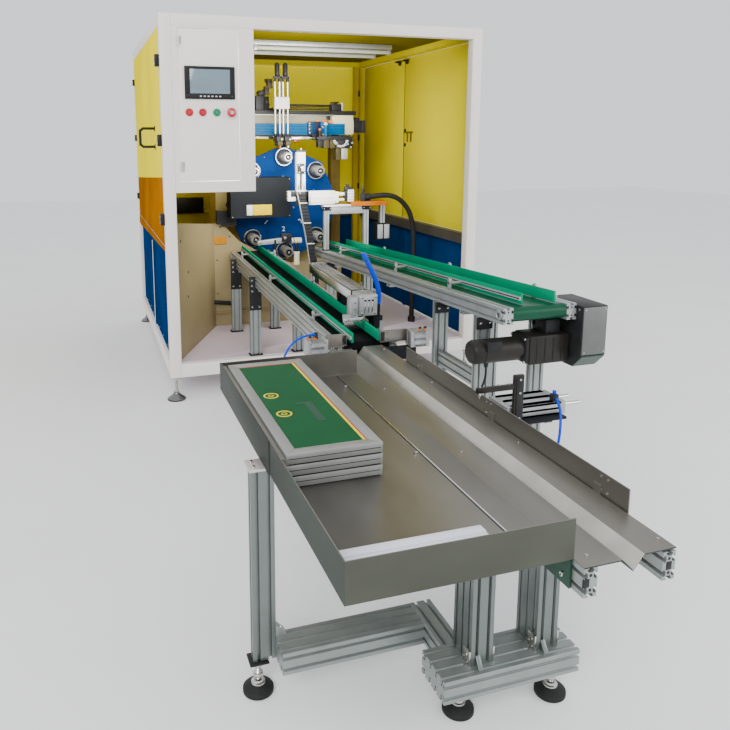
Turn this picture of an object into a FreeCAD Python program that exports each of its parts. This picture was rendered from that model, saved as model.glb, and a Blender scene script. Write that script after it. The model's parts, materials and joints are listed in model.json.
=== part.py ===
import FreeCAD, Part
import math
import os
import re

import Sketcher

# Automatic screen printing machine: an enclosed cabinet around an eight-station indexing
# carousel and a print head, with an infeed conveyor, an outfeed conveyor and a loading table.
# Millimetres. +X is to the right, +Y goes back into the cabinet, +Z is up from the floor.
# Spans are written from the cabinet's front left corner; OriginX and OriginY move the
# finished machine so that its origin is the middle of its footprint.

doc = FreeCAD.newDocument("ScreenPrintingCarousel")

SIZES = {
    # cabinet
    "CabWidth": 1830, "CabDepth": 1890, "CabHeight": 2030, "FrameUnder": 128,
    "Tube": 60, "TubeWall": 4, "FloorRail": 75, "MidRail": 780, "Sheet": 3, "Pane": 8, "Gap": 2,
    "BoxRight": 485, "BoxBottom": 1130, "BoxDepth": 250, "BoxWall": 10,
    "ScreenDoorLeft": 94, "ScreenDoorRight": 402, "ScreenDoorLow": 1190, "ScreenDoorTop": 1958,
    "ScreenDoorThick": 14, "ButtonRadius": 11, "ButtonLevel": 1543,
    "HandleReach": 85, "KnuckleRadius": 6, "HandleTall": 115, "RightSplit": 1045,
    # row origin, from the cabinet's front left corner
    "OriginX": 915, "OriginY": -467,
    # machine bed and pedestal
    "BedFront": 745, "BedCorner": 375, "BedTop": 876,
    # carousel
    "DiscX": 868, "DiscZ": 980, "DiscFront": 860, "DiscThick": 30, "DiscApothem": 355,
    "StationRadius": 310, "Stations": 8, "RingRadius": 60, "RingHub": 35, "MandrelRadius": 33,
    "MandrelLong": 115, "SpindleRadius": 15, "ShaftRadius": 30, "Run": 0.05,
    # print head
    "BeamLeft": 450, "BeamRight": 1395, "BeamFront": 950, "BeamDepth": 120,
    "BeamLow": 1432, "BeamTop": 1568, "RodRadius": 6, "RodPitch": 30,
    "SqueegeeX": 818, "FloodX": 872, "HeadY": 800, "GuideLow": 1597, "GuideTop": 1671,
    # infeed conveyor, in its own frame: front end of the belt's top face
    "InX": 605, "InY": -1330, "InZ": 640, "InTilt": 1.6, "InLong": 2050, "InHalf": 93,
    "InRoller": 25, "InProfile": 30, "InProfileTall": 80,
    # outfeed conveyor, in its own frame: front end of the belt's top face
    "OutX": 1140, "OutY": -1662, "OutZ": 820, "OutTilt": -2.6, "OutLong": 2300, "OutHalf": 110,
    "OutRoller": 25, "OutProfile": 40, "OutProfileTall": 60,
    "BeltThick": 3, "RollFit": 0.3, "AxleRadius": 8, "GuardTall": 42,
    # loading table and chute
    "TrayLeft": -14, "TraySeam": 449, "TrayFront": -2794, "TrayBack": -1632,
    "TrayFloor": 626, "TrayTall": 84, "Wall": 3,
    "RailFront": -2824, "RailWide": 30, "RailTall": 60, "RailLow": 563,
    "LeftRail": 450, "RightRail": 632, "LegWide": 60,
    "FootRadius": 50, "FootPlate": 10, "FootTall": 22, "StemRadius": 8,
    "EjectLevel": 620, "ScreenLong": 690, "ScreenWide": 236, "ScreenBar": 28,
}

sheet = doc.addObject("Spreadsheet::Sheet", "Sizes")
for row, (alias, number) in enumerate(SIZES.items(), 1):
    sheet.set(f"A{row}", alias)
    sheet.set(f"B{row}", str(number))
    sheet.setAlias(f"B{row}", alias)
doc.recompute()

MACHINE = ("OriginX", "OriginY")
LOCAL = ("0", "0")
AXES = {"X": FreeCAD.Vector(1, 0, 0), "Y": FreeCAD.Vector(0, 1, 0), "Z": FreeCAD.Vector(0, 0, 1)}
# turns a cylinder's own Z axis onto each row axis
LAY = {
    "X": FreeCAD.Rotation(AXES["Y"], 90),
    "Y": FreeCAD.Rotation(AXES["X"], -90),
    "Z": FreeCAD.Rotation(),
}
nodes = []


def formula(text):
    """Spell an expression on the sheet's aliases the way FreeCAD reads it."""
    return re.sub(r"[A-Za-z]+", lambda word: f"Sizes.{word.group(0)}"
                  if word.group(0) in SIZES else word.group(0), str(text))


def number(text):
    return float(sheet.evalExpression(formula(text)))


def bind(thing, **expressions):
    """Bind properties to the sheet; a dot in a property's path is written as __."""
    for path, text in expressions.items():
        thing.setExpression(path.replace("__", "."), formula(text))


def put(thing, x, y, z, origin=MACHINE):
    bind(thing, Placement__Base__x=f"({x}) - {origin[0]}",
         Placement__Base__y=f"({y}) - {origin[1]}", Placement__Base__z=z)
    return thing


def block(name, xs, ys, zs, origin=MACHINE):
    """A box between two corners, each side given as a (low, high) pair."""
    box = doc.addObject("Part::Box", name)
    bind(box, Length=f"({xs[1]}) - ({xs[0]})", Width=f"({ys[1]}) - ({ys[0]})",
         Height=f"({zs[1]}) - ({zs[0]})")
    return put(box, xs[0], ys[0], zs[0], origin)


def rod(name, along, start, long, radius, origin=MACHINE):
    """A round bar from start, running a given length along one row axis."""
    bar = doc.addObject("Part::Cylinder", name)
    bar.Placement = FreeCAD.Placement(FreeCAD.Vector(), LAY[along])
    bind(bar, Radius=radius, Height=long)
    return put(bar, *start, origin)


def square_tube(name, xs, ys, zs):
    """A box section along its longest side, open at both ends."""
    spans = [xs, ys, zs]
    lengths = [number(f"({high}) - ({low})") for low, high in spans]
    long = lengths.index(max(lengths))
    inside = [(f"{low} + TubeWall", f"{high} - TubeWall") for low, high in spans]
    inside[long] = (f"{spans[long][0]} - 1", f"{spans[long][1]} + 1")
    return less(name, block(f"{name}_outside", xs, ys, zs), [block(f"{name}_inside", *inside)])


def fused(name, parts):
    joined = doc.addObject("Part::MultiFuse", name)
    joined.Shapes = parts
    return joined


def less(name, base, tools):
    """Base with the tools cut out of it."""
    trimmed = doc.addObject("Part::Cut", name)
    trimmed.Base = base
    trimmed.Tool = tools[0] if len(tools) == 1 else fused(f"{name}_tools", tools)
    return trimmed


def together(name, parts):
    """Several separate solids that are one named piece or a set of identical ones."""
    group = doc.addObject("Part::Compound", name)
    group.Links = parts
    return group


def keep(label, thing):
    """List a finished sub-part under its node's name."""
    thing.Label = label
    nodes.append(thing)
    return thing


def tilted(thing, conveyor):
    """Stand a part drawn in a conveyor's own frame at that conveyor's front end."""
    thing.Placement = FreeCAD.Placement(FreeCAD.Vector(), FreeCAD.Rotation(AXES["X"], 1))
    bind(thing, Placement__Rotation__Angle=f"{conveyor}Tilt")
    return put(thing, f"{conveyor}X", f"{conveyor}Y", f"{conveyor}Z")


def plane(body, role):
    return next(item for item in body.Origin.OriginFeatures if item.Role == role)


def outline(body, role, points):
    """A closed straight-sided sketch whose corners are all driven by the sheet."""
    sketch = body.newObject("Sketcher::SketchObject", "Outline")
    sketch.AttachmentSupport = [(plane(body, role), "")]
    sketch.MapMode = "FlatFace"
    corners = [FreeCAD.Vector(number(u), number(v), 0) for u, v in points]
    count = len(corners)
    for index, corner in enumerate(corners):
        sketch.addGeometry(Part.LineSegment(corner, corners[(index + 1) % count]))
    for index in range(count):
        sketch.addConstraint(Sketcher.Constraint("Coincident", index, 2, (index + 1) % count, 1))
    for index, (u, v) in enumerate(points):
        for kind, text, axis in (("DistanceX", u, -2), ("DistanceY", v, -1)):
            size = number(text)
            if abs(size) < 1e-7:
                sketch.addConstraint(Sketcher.Constraint("PointOnObject", index, 1, axis))
            else:
                mark = sketch.addConstraint(Sketcher.Constraint(kind, -1, 1, index, 1, size))
                sketch.setExpression(f"Constraints[{mark}]", formula(text))
    return sketch


def padded(name, role, points, long, reversed_pad=False):
    """A sketch pushed out into a solid. On XZ a plain pad grows towards -Y."""
    body = doc.addObject("PartDesign::Body", name)
    pad = body.newObject("PartDesign::Pad", "Pad")
    pad.Profile = outline(body, role, points)
    pad.Reversed = reversed_pad
    bind(pad, Length=long)
    return body


def turned(name, points):
    """A body of revolution about the row's Y axis; points are (distance along Y, radius)."""
    body = doc.addObject("PartDesign::Body", name)
    sketch = outline(body, "YZ_Plane", points)
    solid = body.newObject("PartDesign::Revolution", "Revolution")
    solid.Profile = sketch
    solid.ReferenceAxis = (sketch, ["H_Axis"])
    solid.Angle = 360
    return body


def tube_along(name, route, radius):
    """A round tube through a route of points: straight runs joined by tangent arcs."""
    points = [FreeCAD.Vector(x - number("OriginX"), y - number("OriginY"), z) for x, y, z in route]
    edges = []
    start = points[0]
    radii = []
    for before, corner, after in zip(points, points[1:], points[2:]):
        back = before - corner
        on = after - corner
        reach = 0.45 * min(back.Length, on.Length)
        half_turn = (math.pi - back.getAngle(on)) / 2
        radii.append(reach / math.tan(half_turn))
        entry = corner + back.normalize() * reach
        leave = corner + on.normalize() * reach
        inward = (back + on).normalize()
        depth = reach * math.tan(half_turn / 2) if half_turn else 0
        middle = corner + inward * (radii[-1] / math.cos(half_turn) - radii[-1])
        edges.append(Part.LineSegment(start, entry).toShape())
        edges.append(Part.Arc(entry, middle, leave).toShape())
        start = leave
    edges.append(Part.LineSegment(start, points[-1]).toShape())
    path = Part.Wire(edges)
    ring = Part.Wire(Part.Circle(points[0], points[1] - points[0], radius).toShape())
    solid = path.makePipeShell([ring], True, True)
    ratio = solid.Volume / (math.pi * radius ** 2 * path.Length)
    print(f"{name}: length {path.Length:.0f}, volume ratio {ratio:.4f}, radii",
          [round(value) for value in radii])
    piece = doc.addObject("Part::Feature", name)
    piece.Shape = solid
    return piece


# ---------------------------------------------------------------- cabinet

LEFT_POST = ("0", "Tube")
RIGHT_POST = ("CabWidth - Tube", "CabWidth")
FRONT_POST = ("0", "Tube")
BACK_POST = ("CabDepth - Tube", "CabDepth")
BETWEEN_X = ("Tube", "CabWidth - Tube")
BETWEEN_Y = ("Tube", "CabDepth - Tube")
TOP_RAIL = ("CabHeight - Tube", "CabHeight")
LOW_RAIL = ("FrameUnder", "FrameUnder + FloorRail")
MID_RAIL = ("MidRail", "MidRail + Tube")
FLOOR = "FrameUnder + FloorRail + Sheet"


def cabinet():
    posts = [square_tube("post", xs, ys, ("FrameUnder", "CabHeight"))
             for xs in (LEFT_POST, RIGHT_POST) for ys in (FRONT_POST, BACK_POST)]
    keep("cabinet_posts", together("posts", posts))

    rails = [square_tube("rail", BETWEEN_X, ys, zs)
             for ys in (FRONT_POST, BACK_POST) for zs in (TOP_RAIL, LOW_RAIL)]
    rails += [square_tube("side_rail", xs, BETWEEN_Y, zs)
              for xs in (LEFT_POST, RIGHT_POST) for zs in (TOP_RAIL, MID_RAIL, LOW_RAIL)]
    rails.append(square_tube("back_mid_rail", BETWEEN_X, BACK_POST, MID_RAIL))
    keep("cabinet_rails", together("rails", rails))

    roof = block("roof", BETWEEN_X, BETWEEN_Y, ("CabHeight - 20", "CabHeight - 20 + Sheet"))
    floor = block("floor", BETWEEN_X, ("Tube / 2", "CabDepth - Tube / 2"),
                  ("FrameUnder + FloorRail", FLOOR))
    gland = rod("floor_gland", "Z", ("1640", "470", FLOOR), "34", "24")
    keep("roof_and_floor", together("horizontal_panels", [roof, fused("floor_and_gland", [floor, gland])]))
    keep("back_panel", block("back", BETWEEN_X, ("CabDepth - 30", "CabDepth - 30 + Pane"),
                             ("MidRail + Tube", "CabHeight - Tube")))

    above_floor = (FLOOR, "MidRail")
    middle_post = ("CabDepth / 2 - 20", "CabDepth / 2 + 20")
    panels = []
    for near, far in (("20", "20 + Sheet"), ("CabWidth - 20 - Sheet", "CabWidth - 20")):
        panels.append(block("front_panel", (near, far), ("Tube", middle_post[0]), above_floor))
        panels.append(block("rear_panel", (near, far), (middle_post[1], "CabDepth - Tube"),
                            above_floor))
        panels.append(block("panel_post", (f"{near} - 10", f"{far} + 10"), middle_post, above_floor))
    panels.append(block("back_lower", BETWEEN_X, ("CabDepth - 30", "CabDepth - 30 + Sheet"),
                        above_floor))
    keep("lower_panels", together("panels", panels))

    feet = []
    for x in ("Tube / 2", "CabWidth - Tube / 2"):
        for y in ("Tube / 2", "CabDepth - Tube / 2"):
            feet.append(levelling_foot(x, y, "FrameUnder"))
    for x, y in (("-35", "-2205"), ("425", "-2425"), ("680", "-2445")):
        feet.append(levelling_foot(x, y, "95"))
    keep("levelling_feet", together("feet", feet))


def levelling_foot(x, y, top):
    """A round foot pad with its threaded stem, up to the underside of the frame."""
    pad = rod("foot_pad", "Z", (x, y, "0"), "FootTall", "FootRadius")
    stem = rod("foot_stem", "Z", (x, y, "0"), top, "StemRadius")
    nut = rod("foot_nut", "Z", (x, y, f"{top} - 18"), "12", "2 * StemRadius")
    return fused("foot", [pad, stem, nut])


def bow_handle(outer, inner, y, z, sign):
    """A square D handle standing out sideways from a door; sign is -1 on the left side."""
    low, high = (outer, inner) if sign < 0 else (inner, outer)
    bar = ("0", "12") if sign < 0 else ("-12", "0")
    grip = block("grip", (f"{outer} + {bar[0]}", f"{outer} + {bar[1]}"), (y, f"{y} + 14"),
                 (z, f"{z} + HandleTall"))
    legs = [block("handle_leg", (low, high), (y, f"{y} + 14"), (start, f"{start} + 14"))
            for start in (z, f"{z} + HandleTall - 14")]
    return [grip] + legs


def side_doors():
    """Three acrylic doors, each hung on a cabinet post, outside the frame's inner edge."""
    heights = ("MidRail + Tube + Gap", "CabHeight - Tube - Gap")
    hinge_levels = ("960", "1390", "1790")

    def hinges(x, y, axis):
        """A leaf plate and a round knuckle on the hinge's axis, at each level."""
        plates = [block("hinge", (x, f"{x} + 16"), (y, f"{y} + 34"), (z, f"{z} + 44"))
                  for z in hinge_levels]
        knuckles = [rod("knuckle", "Z", (*axis, z), "44", "KnuckleRadius")
                    for z in hinge_levels]
        return plates + knuckles

    left = [block("pane", ("Gap", "Gap + Pane"), ("Tube + Gap", "CabDepth - Tube - Gap"), heights)]
    left += bow_handle("-HandleReach", "Gap", "390", "1357", -1)
    left += hinges("-14", "CabDepth - Tube - Gap - 34", ("-7", "CabDepth - Tube - 1"))
    keep("left_door", fused("left_leaf", left))

    right_x = ("CabWidth - Gap - Pane", "CabWidth - Gap")
    outer = "CabWidth + HandleReach"
    front = [block("pane", right_x, ("Tube + Gap", "RightSplit - Gap / 2"), heights)]
    front += bow_handle(outer, "CabWidth - Gap", "RightSplit - 40", "1357", 1)
    front += hinges("CabWidth - 2", "Tube + Gap", ("CabWidth + 7", "Tube + 1"))
    keep("right_door_front", fused("front_leaf", front))
    rear = [block("pane", right_x, ("RightSplit + Gap / 2", "CabDepth - Tube - Gap"), heights)]
    rear += hinges("CabWidth - 2", "CabDepth - Tube - Gap - 34", ("CabWidth + 7", "CabDepth - Tube - 1"))
    keep("right_door_back", fused("back_leaf", rear))


# ---------------------------------------------------------------- control box

BUTTONS = (("stop_button", 141), ("reset_button", 210), ("start_button", 283))
EMERGENCY_X = 357


def control_box():
    shell = block("box", ("Tube", "BoxRight"), ("0", "BoxDepth"), ("BoxBottom", "CabHeight - Tube"))
    hollow = block("hollow", ("Tube + BoxWall", "BoxRight - BoxWall"), ("BoxWall", "BoxDepth - BoxWall"),
                   ("BoxBottom + BoxWall", "CabHeight - Tube - BoxWall"))
    door_hole = block("door_hole", ("ScreenDoorLeft - Gap", "ScreenDoorRight + Gap"),
                      ("-1", "BoxWall + 1"), ("ScreenDoorLow - Gap", "ScreenDoorTop + Gap"))
    keep("control_box", less("control_shell", shell, [hollow, door_hole]))

    leaf = block("leaf", ("ScreenDoorLeft", "ScreenDoorRight"), ("0", "ScreenDoorThick"),
                 ("ScreenDoorLow", "ScreenDoorTop"))
    panel = block("touch_panel", ("121", "380"), ("-9", "0"), ("1610", "1774"))
    bezels = [rod("bezel", "Y", (x, "-5", "ButtonLevel"), "5", "ButtonRadius + 4")
              for x in [place for _, place in BUTTONS] + [EMERGENCY_X]]
    holes = [rod("hole", "Y", (x, "-6", "ButtonLevel"), "ScreenDoorThick + 8", "ButtonRadius + Run")
             for x in [place for _, place in BUTTONS] + [EMERGENCY_X]]
    knuckles = []
    for z in ("1240", "1870"):
        knuckles.append(rod("door_knuckle", "Z", ("ScreenDoorLeft - 1", "-5", z), "50", "4.5"))
        knuckles.append(block("door_tab", ("ScreenDoorLeft", "ScreenDoorLeft + 16"), ("-4", "0"),
                              (z, f"{z} + 50")))
    parts = [leaf, panel] + bezels + knuckles
    keep("screen_door", less("screen_leaf", fused("door_parts", parts), holes))

    for name, x in BUTTONS:
        keep(name, rod(f"{name}_cap", "Y", (x, "-14", "ButtonLevel"), "30", "ButtonRadius"))
    stem = rod("stem", "Y", (EMERGENCY_X, "-30", "ButtonLevel"), "46", "ButtonRadius")
    mushroom = rod("mushroom", "Y", (EMERGENCY_X, "-38", "ButtonLevel"), "18", "20")
    keep("emergency_stop", fused("emergency", [stem, mushroom]))


# ---------------------------------------------------------------- bed and carousel

def machine_bed():
    """Front wall with its top edge cut away below the carousel, and the slanted side wall."""
    front = padded("front_wall", "XZ_Plane", [
        ("BedCorner", FLOOR), ("1240", FLOOR),
        ("1240", "600"), ("880", "600"), ("690", "672"), ("542", "756"), ("430", "BedTop"),
        ("BedCorner", "BedTop")], "20")
    put(front, "0", "BedFront + 20", "0")

    run = "BedCorner - Tube"
    rise = "BedFront - Tube"
    length = f"sqrt(({run})^2 + ({rise})^2)"
    apron = padded("side_wall", "XZ_Plane", [
        ("0", FLOOR), (f"{length} - 4", FLOOR),
        (f"{length} - 4", "BedTop"), ("0", "BedTop + 89")], "4", reversed_pad=True)
    turn = math.degrees(math.atan2(number(rise), number(run)))
    apron.Placement = FreeCAD.Placement(FreeCAD.Vector(), FreeCAD.Rotation(AXES["Z"], turn))
    put(apron, "Tube + 4", "Tube", "0")
    keep("machine_bed", together("bed", [front, apron]))

    column = block("column", ("BeamLeft", "BeamLeft + 230"), ("BeamFront + BeamDepth", "1300"),
                   (FLOOR, "BeamTop + 26"))
    tower = block("tower", ("690", "1180"), ("980", "1400"), (FLOOR, "1160"))
    bridge = block("bridge", ("BeamLeft + 230", "690"), ("1100", "1280"),
                   (FLOOR, "1100"))
    nose = rod("bearing_nose", "Y", ("DiscX", "925", "DiscZ"), "55", "95")
    bore = rod("bearing_bore", "Y", ("DiscX", "920", "DiscZ"), "200", "ShaftRadius + Run")
    motor = rod("indexing_motor", "Y", ("DiscX", "1400", "DiscZ"), "230", "80")
    solid = fused("pedestal_parts", [column, tower, bridge, nose, motor])
    tower_inside = block("tower_inside", ("702", "1168"), ("992", "1388"), (f"{FLOOR} + 12", "1148"))
    column_inside = block("column_inside", ("BeamLeft + 12", "BeamLeft + 218"),
                          ("BeamFront + BeamDepth + 12", "1288"), (f"{FLOOR} + 12", "BeamTop + 14"))
    pedestal = less("pedestal", solid, [bore, tower_inside, column_inside])
    right_column = block("right_column", ("1275", "1345"), ("BeamFront + BeamDepth", "1145"),
                         (FLOOR, "BeamTop + 26"))
    keep("drive_pedestal", together("pedestal_and_column", [pedestal, right_column]))


def carousel():
    corner = "DiscApothem / cos(22.5)"
    step = 360 / number("Stations")
    rim = [(f"{corner} * cos({step * k})", f"{corner} * sin({step * k})")
           for k in range(int(number("Stations")))]
    disc = padded("disc", "XZ_Plane", rim, "DiscThick", reversed_pad=True)
    hole_sketch = disc.newObject("Sketcher::SketchObject", "Station")
    hole_sketch.AttachmentSupport = [(plane(disc, "XZ_Plane"), "")]
    hole_sketch.MapMode = "FlatFace"
    radius = number("RingHub + RollFit")
    centre = FreeCAD.Vector(number("StationRadius"), 0, 0)
    hole_sketch.addGeometry(Part.Circle(centre, AXES["Z"], radius))
    hole_sketch.addConstraint(Sketcher.Constraint("PointOnObject", 0, 3, -1))
    reach = hole_sketch.addConstraint(Sketcher.Constraint("DistanceX", -1, 1, 0, 3, centre.x))
    hole_sketch.setExpression(f"Constraints[{reach}]", formula("StationRadius"))
    size = hole_sketch.addConstraint(Sketcher.Constraint("Radius", 0, radius))
    hole_sketch.setExpression(f"Constraints[{size}]", formula("RingHub + RollFit"))
    doc.recompute()
    plain_volume = disc.Shape.Volume
    hole = disc.newObject("PartDesign::Pocket", "StationHole")
    hole.Profile = hole_sketch
    hole.Reversed = True
    bind(hole, Length="DiscThick")
    doc.recompute()
    if plain_volume - disc.Shape.Volume < 1:
        hole.Reversed = False
        doc.recompute()
    pattern = disc.newObject("PartDesign::PolarPattern", "StationHoles")
    pattern.Originals = [hole]
    pattern.Axis = (hole_sketch, ["N_Axis"])
    pattern.Angle = 360
    pattern.Occurrences = int(number("Stations"))
    disc.Tip = pattern
    put(disc, "DiscX", "DiscFront", "DiscZ")
    doc.recompute()
    holes_cut = (plain_volume - disc.Shape.Volume) / (math.pi * radius ** 2 * number("DiscThick"))
    print(f"carousel disc: {holes_cut:.2f} station holes cut")
    keep("carousel_disc", disc)

    rings = []
    for k in range(int(number("Stations"))):
        across = f"DiscX + StationRadius * cos({step * k})"
        up = f"DiscZ + StationRadius * sin({step * k})"
        ring = turned("ring", [
            ("-30", "RingRadius - 9"), ("-30", "RingRadius"), ("0", "RingRadius"), ("0", "RingHub"),
            ("DiscThick + 6", "RingHub"), ("DiscThick + 6", "SpindleRadius + Run"),
            ("-8", "SpindleRadius + Run"), ("-8", "RingRadius - 9")])
        rings.append(put(ring, across, "DiscFront", up))
        mandrel = turned("spindle", [
            ("-10", "0"), ("-10", "MandrelRadius"), ("-10 - MandrelLong", "MandrelRadius"),
            ("-20 - MandrelLong", "MandrelRadius - 9"), ("-20 - MandrelLong", "0")])
        arbor = rod("arbor", "Y", (across, "DiscFront - 11", up), "DiscThick + 19", "SpindleRadius")
        collar = rod("collar", "Y", (across, "DiscFront + DiscThick + 7", up), "9", "SpindleRadius + 8")
        put(mandrel, across, "DiscFront", up)
        keep(f"mandrel_{k + 1}", fused(f"mandrel_body_{k + 1}", [mandrel, arbor, collar]))
    keep("station_rings", together("rings", rings))

    shaft = rod("shaft", "Y", ("DiscX", "DiscFront + DiscThick", "DiscZ"), "210", "ShaftRadius")
    flange = rod("hub_flange", "Y", ("DiscX", "DiscFront + DiscThick", "DiscZ"), "20", "90")
    keep("carousel_shaft", fused("shaft_body", [shaft, flange]))

    cover = block("cover", ("460", "845"), ("590", "715"), ("920", "1170"))
    arm = block("cover_arm", ("420", "520"), ("715", "725"), ("860", "960"))
    strut = block("cover_strut", ("395", "430"), ("715", "765"), ("BedTop", "960"))
    keep("guard_box", fused("guard", [cover, arm, strut]))


# ---------------------------------------------------------------- print head

def print_head():
    beam = block("beam", ("BeamLeft", "BeamRight"), ("BeamFront", "BeamFront + BeamDepth"),
                 ("BeamLow", "BeamTop"))
    cap = block("beam_cap", ("BeamLeft", "BeamRight + 14"), ("BeamFront - 20", "BeamFront + BeamDepth"),
                ("BeamTop", "BeamTop + 26"))
    rail = block("linear_rail", ("BeamLeft", "1330"), ("BeamFront - 14", "BeamFront"), ("1434", "1508"))
    under_bar = block("under_bar", ("BeamLeft", "1350"), ("BeamFront", "BeamFront + BeamDepth"),
                      ("1406", "BeamLow"))
    stop_block = block("stop_block", ("1240", "1310"), ("BeamFront", "BeamFront + 60"),
                       ("BeamTop + 26", "1652"))
    stop_rod = rod("stop_rod", "X", ("850", "BeamFront + 30", "1628"), "390", "8")
    rod_foot = block("rod_foot", ("850", "880"), ("BeamFront + 10", "BeamFront + 50"),
                     ("BeamTop + 26", "1640"))
    bracket = block("guide_bracket", ("SqueegeeX - 15", "FloodX + 15"), ("HeadY + 25", "BeamFront + 20"),
                    ("BeamTop + 26", "BeamTop + 38"))
    flange = block("servo_flange", ("BeamRight", "BeamRight + 12"), ("970", "1050"), ("1446", "1535"))
    servo = block("servo_body", ("BeamRight + 12", "1495"), ("975", "1045"), ("1450", "1531"))
    keep("head_beam", fused("beam_parts", [beam, cap, rail, under_bar, stop_block, stop_rod, rod_foot,
                                           bracket, flange, servo]))

    for label, x, depth in (("squeegee", "SqueegeeX", "15"), ("flood_bar", "FloodX", "11")):
        rods = [rod(f"{label}_rod", "Z", (f"{x} + {side} * RodPitch / 2", "HeadY", "1415"), "380",
                    "RodRadius") for side in (-1, 1)]
        top = block(f"{label}_top", (f"{x} - 24", f"{x} + 24"), ("HeadY - 13", "HeadY + 13"),
                    ("1790", "1802"))
        cylinder = rod(f"{label}_cap", "Z", (x, "HeadY", "1802"), "84", "13")
        holder = block(f"{label}_holder", (f"{x} - 24", f"{x} + 24"), ("HeadY - 70", "HeadY + 28"),
                       ("1362", "1420"))
        blade = block(f"{label}_blade", (f"{x} - 4", f"{x} + 4"), ("HeadY - 65", "HeadY + 26"),
                      (f"1362 - {depth}", "1362"))
        keep(label, fused(f"{label}_unit", rods + [top, cylinder, holder, blade]))

    plate = block("carriage_plate", ("1060", "1200"), ("918", "935"), ("1436", "1520"))
    arm = block("carriage_arm", ("1085", "1175"), ("850", "918"), ("1400", "1424"))
    step = block("carriage_step", ("1085", "1175"), ("905", "918"), ("1424", "1436"))
    clamp = block("screen_clamp", ("1091", "1331"), ("780", "850"), ("1345", "1424"))
    lower = block("clamp_foot", ("1230", "1300"), ("790", "840"), ("1266", "1345"))
    bar = block("screen_bar", ("925", "1091"), ("862", "874"), ("1405", "1417"))
    joint = block("bar_joint", ("1079", "1091"), ("850", "862"), ("1400", "1424"))
    link = block("bar_link", ("1079", "1091"), ("840", "874"), ("1400", "1424"))
    lift = rod("clamp_cylinder", "Z", ("1172", "880", "1424"), "78", "17")
    keep("screen_carriage", fused("carriage", [plate, arm, step, clamp, lower, bar, joint, link, lift]))


# ---------------------------------------------------------------- loader in front of the carousel

def loader():
    low = f"{on_frame('Out', '370')} + 0.1"
    posts = [block("gantry_post", (x, f"{x} + 30"), ("370", "400"), (low, "1000")) for x in ("996", "1256")]
    plate = block("gantry_plate", ("985", "1410"), ("350", "430"), ("1000", "1010"))
    body = block("loader_body", ("830", "886"), ("402", "440"), ("1096", "1342"))
    web = block("loader_web", ("830", "1000"), ("402", "430"), ("1010", "1096"))
    sensor = block("sensor_box", ("1365", "1460"), ("430", "500"), ("770", "880"))
    sensor_post = block("sensor_post", ("1390", "1420"), ("430", "460"), ("880", "1010"))
    gland_block = block("gland_block", ("1275", "1305"), ("385", "425"), ("1010", "1030"))
    gland = rod("conduit_gland", "X", ("1270", "405", "1050"), "40", "22")
    chain = padded("cable_chain", "XZ_Plane", [
        ("824", "1085"), ("842", "1005"), ("875", "821"), ("912", "593"), ("912", FLOOR),
        ("951", FLOOR), ("951", "593"), ("915", "821"), ("882", "1005"), ("866", "1085")], "16")
    put(chain, "0", "392", "0")
    chain_lug = block("chain_lug", ("836", "862"), ("392", "402"), ("1050", "1080"))
    keep("loader_stand", fused("gantry", posts + [plate, body, web, sensor, sensor_post, gland_block,
                                                  gland, chain, chain_lug]))

    carriage = block("loader_carriage", ("833", "883"), ("384", "401.5"), ("1200", "1260"))
    finger = block("loader_finger", ("838", "850"), ("340", "384"), ("1236", "1244"))
    keep("loader_slide", fused("slide_block", [carriage, finger]))


# ---------------------------------------------------------------- conveyors

def stadium(name, long, outer, half, origin):
    """A flat-topped loop as wide as the belt, wrapped round both end rollers."""
    middle = block(f"{name}_middle", (f"-({half})", half), ("InRoller", f"{long} - InRoller"),
                   (f"-BeltThick - InRoller - ({outer})", f"-BeltThick - InRoller + ({outer})"), origin)
    ends = [rod(f"{name}_end", "X", (f"-({half})", y, "-BeltThick - InRoller"), f"2 * ({half})", outer,
                origin) for y in ("InRoller", f"{long} - InRoller")]
    return fused(name, [middle] + ends)


def belt(conveyor):
    half = f"{conveyor}Half"
    long = f"{conveyor}Long"
    outer = stadium("belt_outside", long, f"{conveyor}Roller + BeltThick", half, LOCAL)
    inner = stadium("belt_inside", long, f"{conveyor}Roller + RollFit", f"{half} + 1", LOCAL)
    return tilted(less(f"{conveyor}_belt", outer, [inner]), conveyor)


def roller(label, conveyor, y):
    """An end roller with its axle, turning in the side profiles' bores."""
    half = f"{conveyor}Half"
    level = f"-BeltThick - {conveyor}Roller"
    drum = rod("drum", "X", (f"-{half}", y, level), f"2 * {half}", f"{conveyor}Roller", LOCAL)
    axle = rod("axle", "X", (f"-{half} - 24", y, level), f"2 * {half} + 48", "AxleRadius", LOCAL)
    keep(label, tilted(fused(f"{label}_body", [drum, axle]), conveyor))


def conveyor_frame(label, conveyor, ties):
    half = f"{conveyor}Half + 2"
    wide = f"{conveyor}Profile"
    tall = f"{conveyor}ProfileTall"
    long = f"{conveyor}Long"
    level = f"-BeltThick - {conveyor}Roller"
    sides = [block("side_profile", span, ("-4", f"{long} + 4"), (f"-{tall}", "0"), LOCAL)
             for span in ((f"-({half}) - {wide}", f"-({half})"), (half, f"{half} + {wide}"))]
    bores = [rod("axle_bore", "X", (f"-({half}) - {wide} - 1", y, level),
                 f"2 * ({half} + {wide}) + 2", "AxleRadius + Run", LOCAL)
             for y in ("InRoller", f"{long} - InRoller")]
    profiles = less(f"{label}_profiles", together(f"{label}_pair", sides), bores)
    low = f"-BeltThick * 2 - 2 * {conveyor}Roller - 4"
    bars = [block("tie_bar", (f"-({half})", half), (y, f"{y} + 40"), (f"{low} - 30", low), LOCAL)
            for y in ties]
    keep(label, tilted(together(f"{label}_frame", [profiles] + bars), conveyor))


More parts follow.
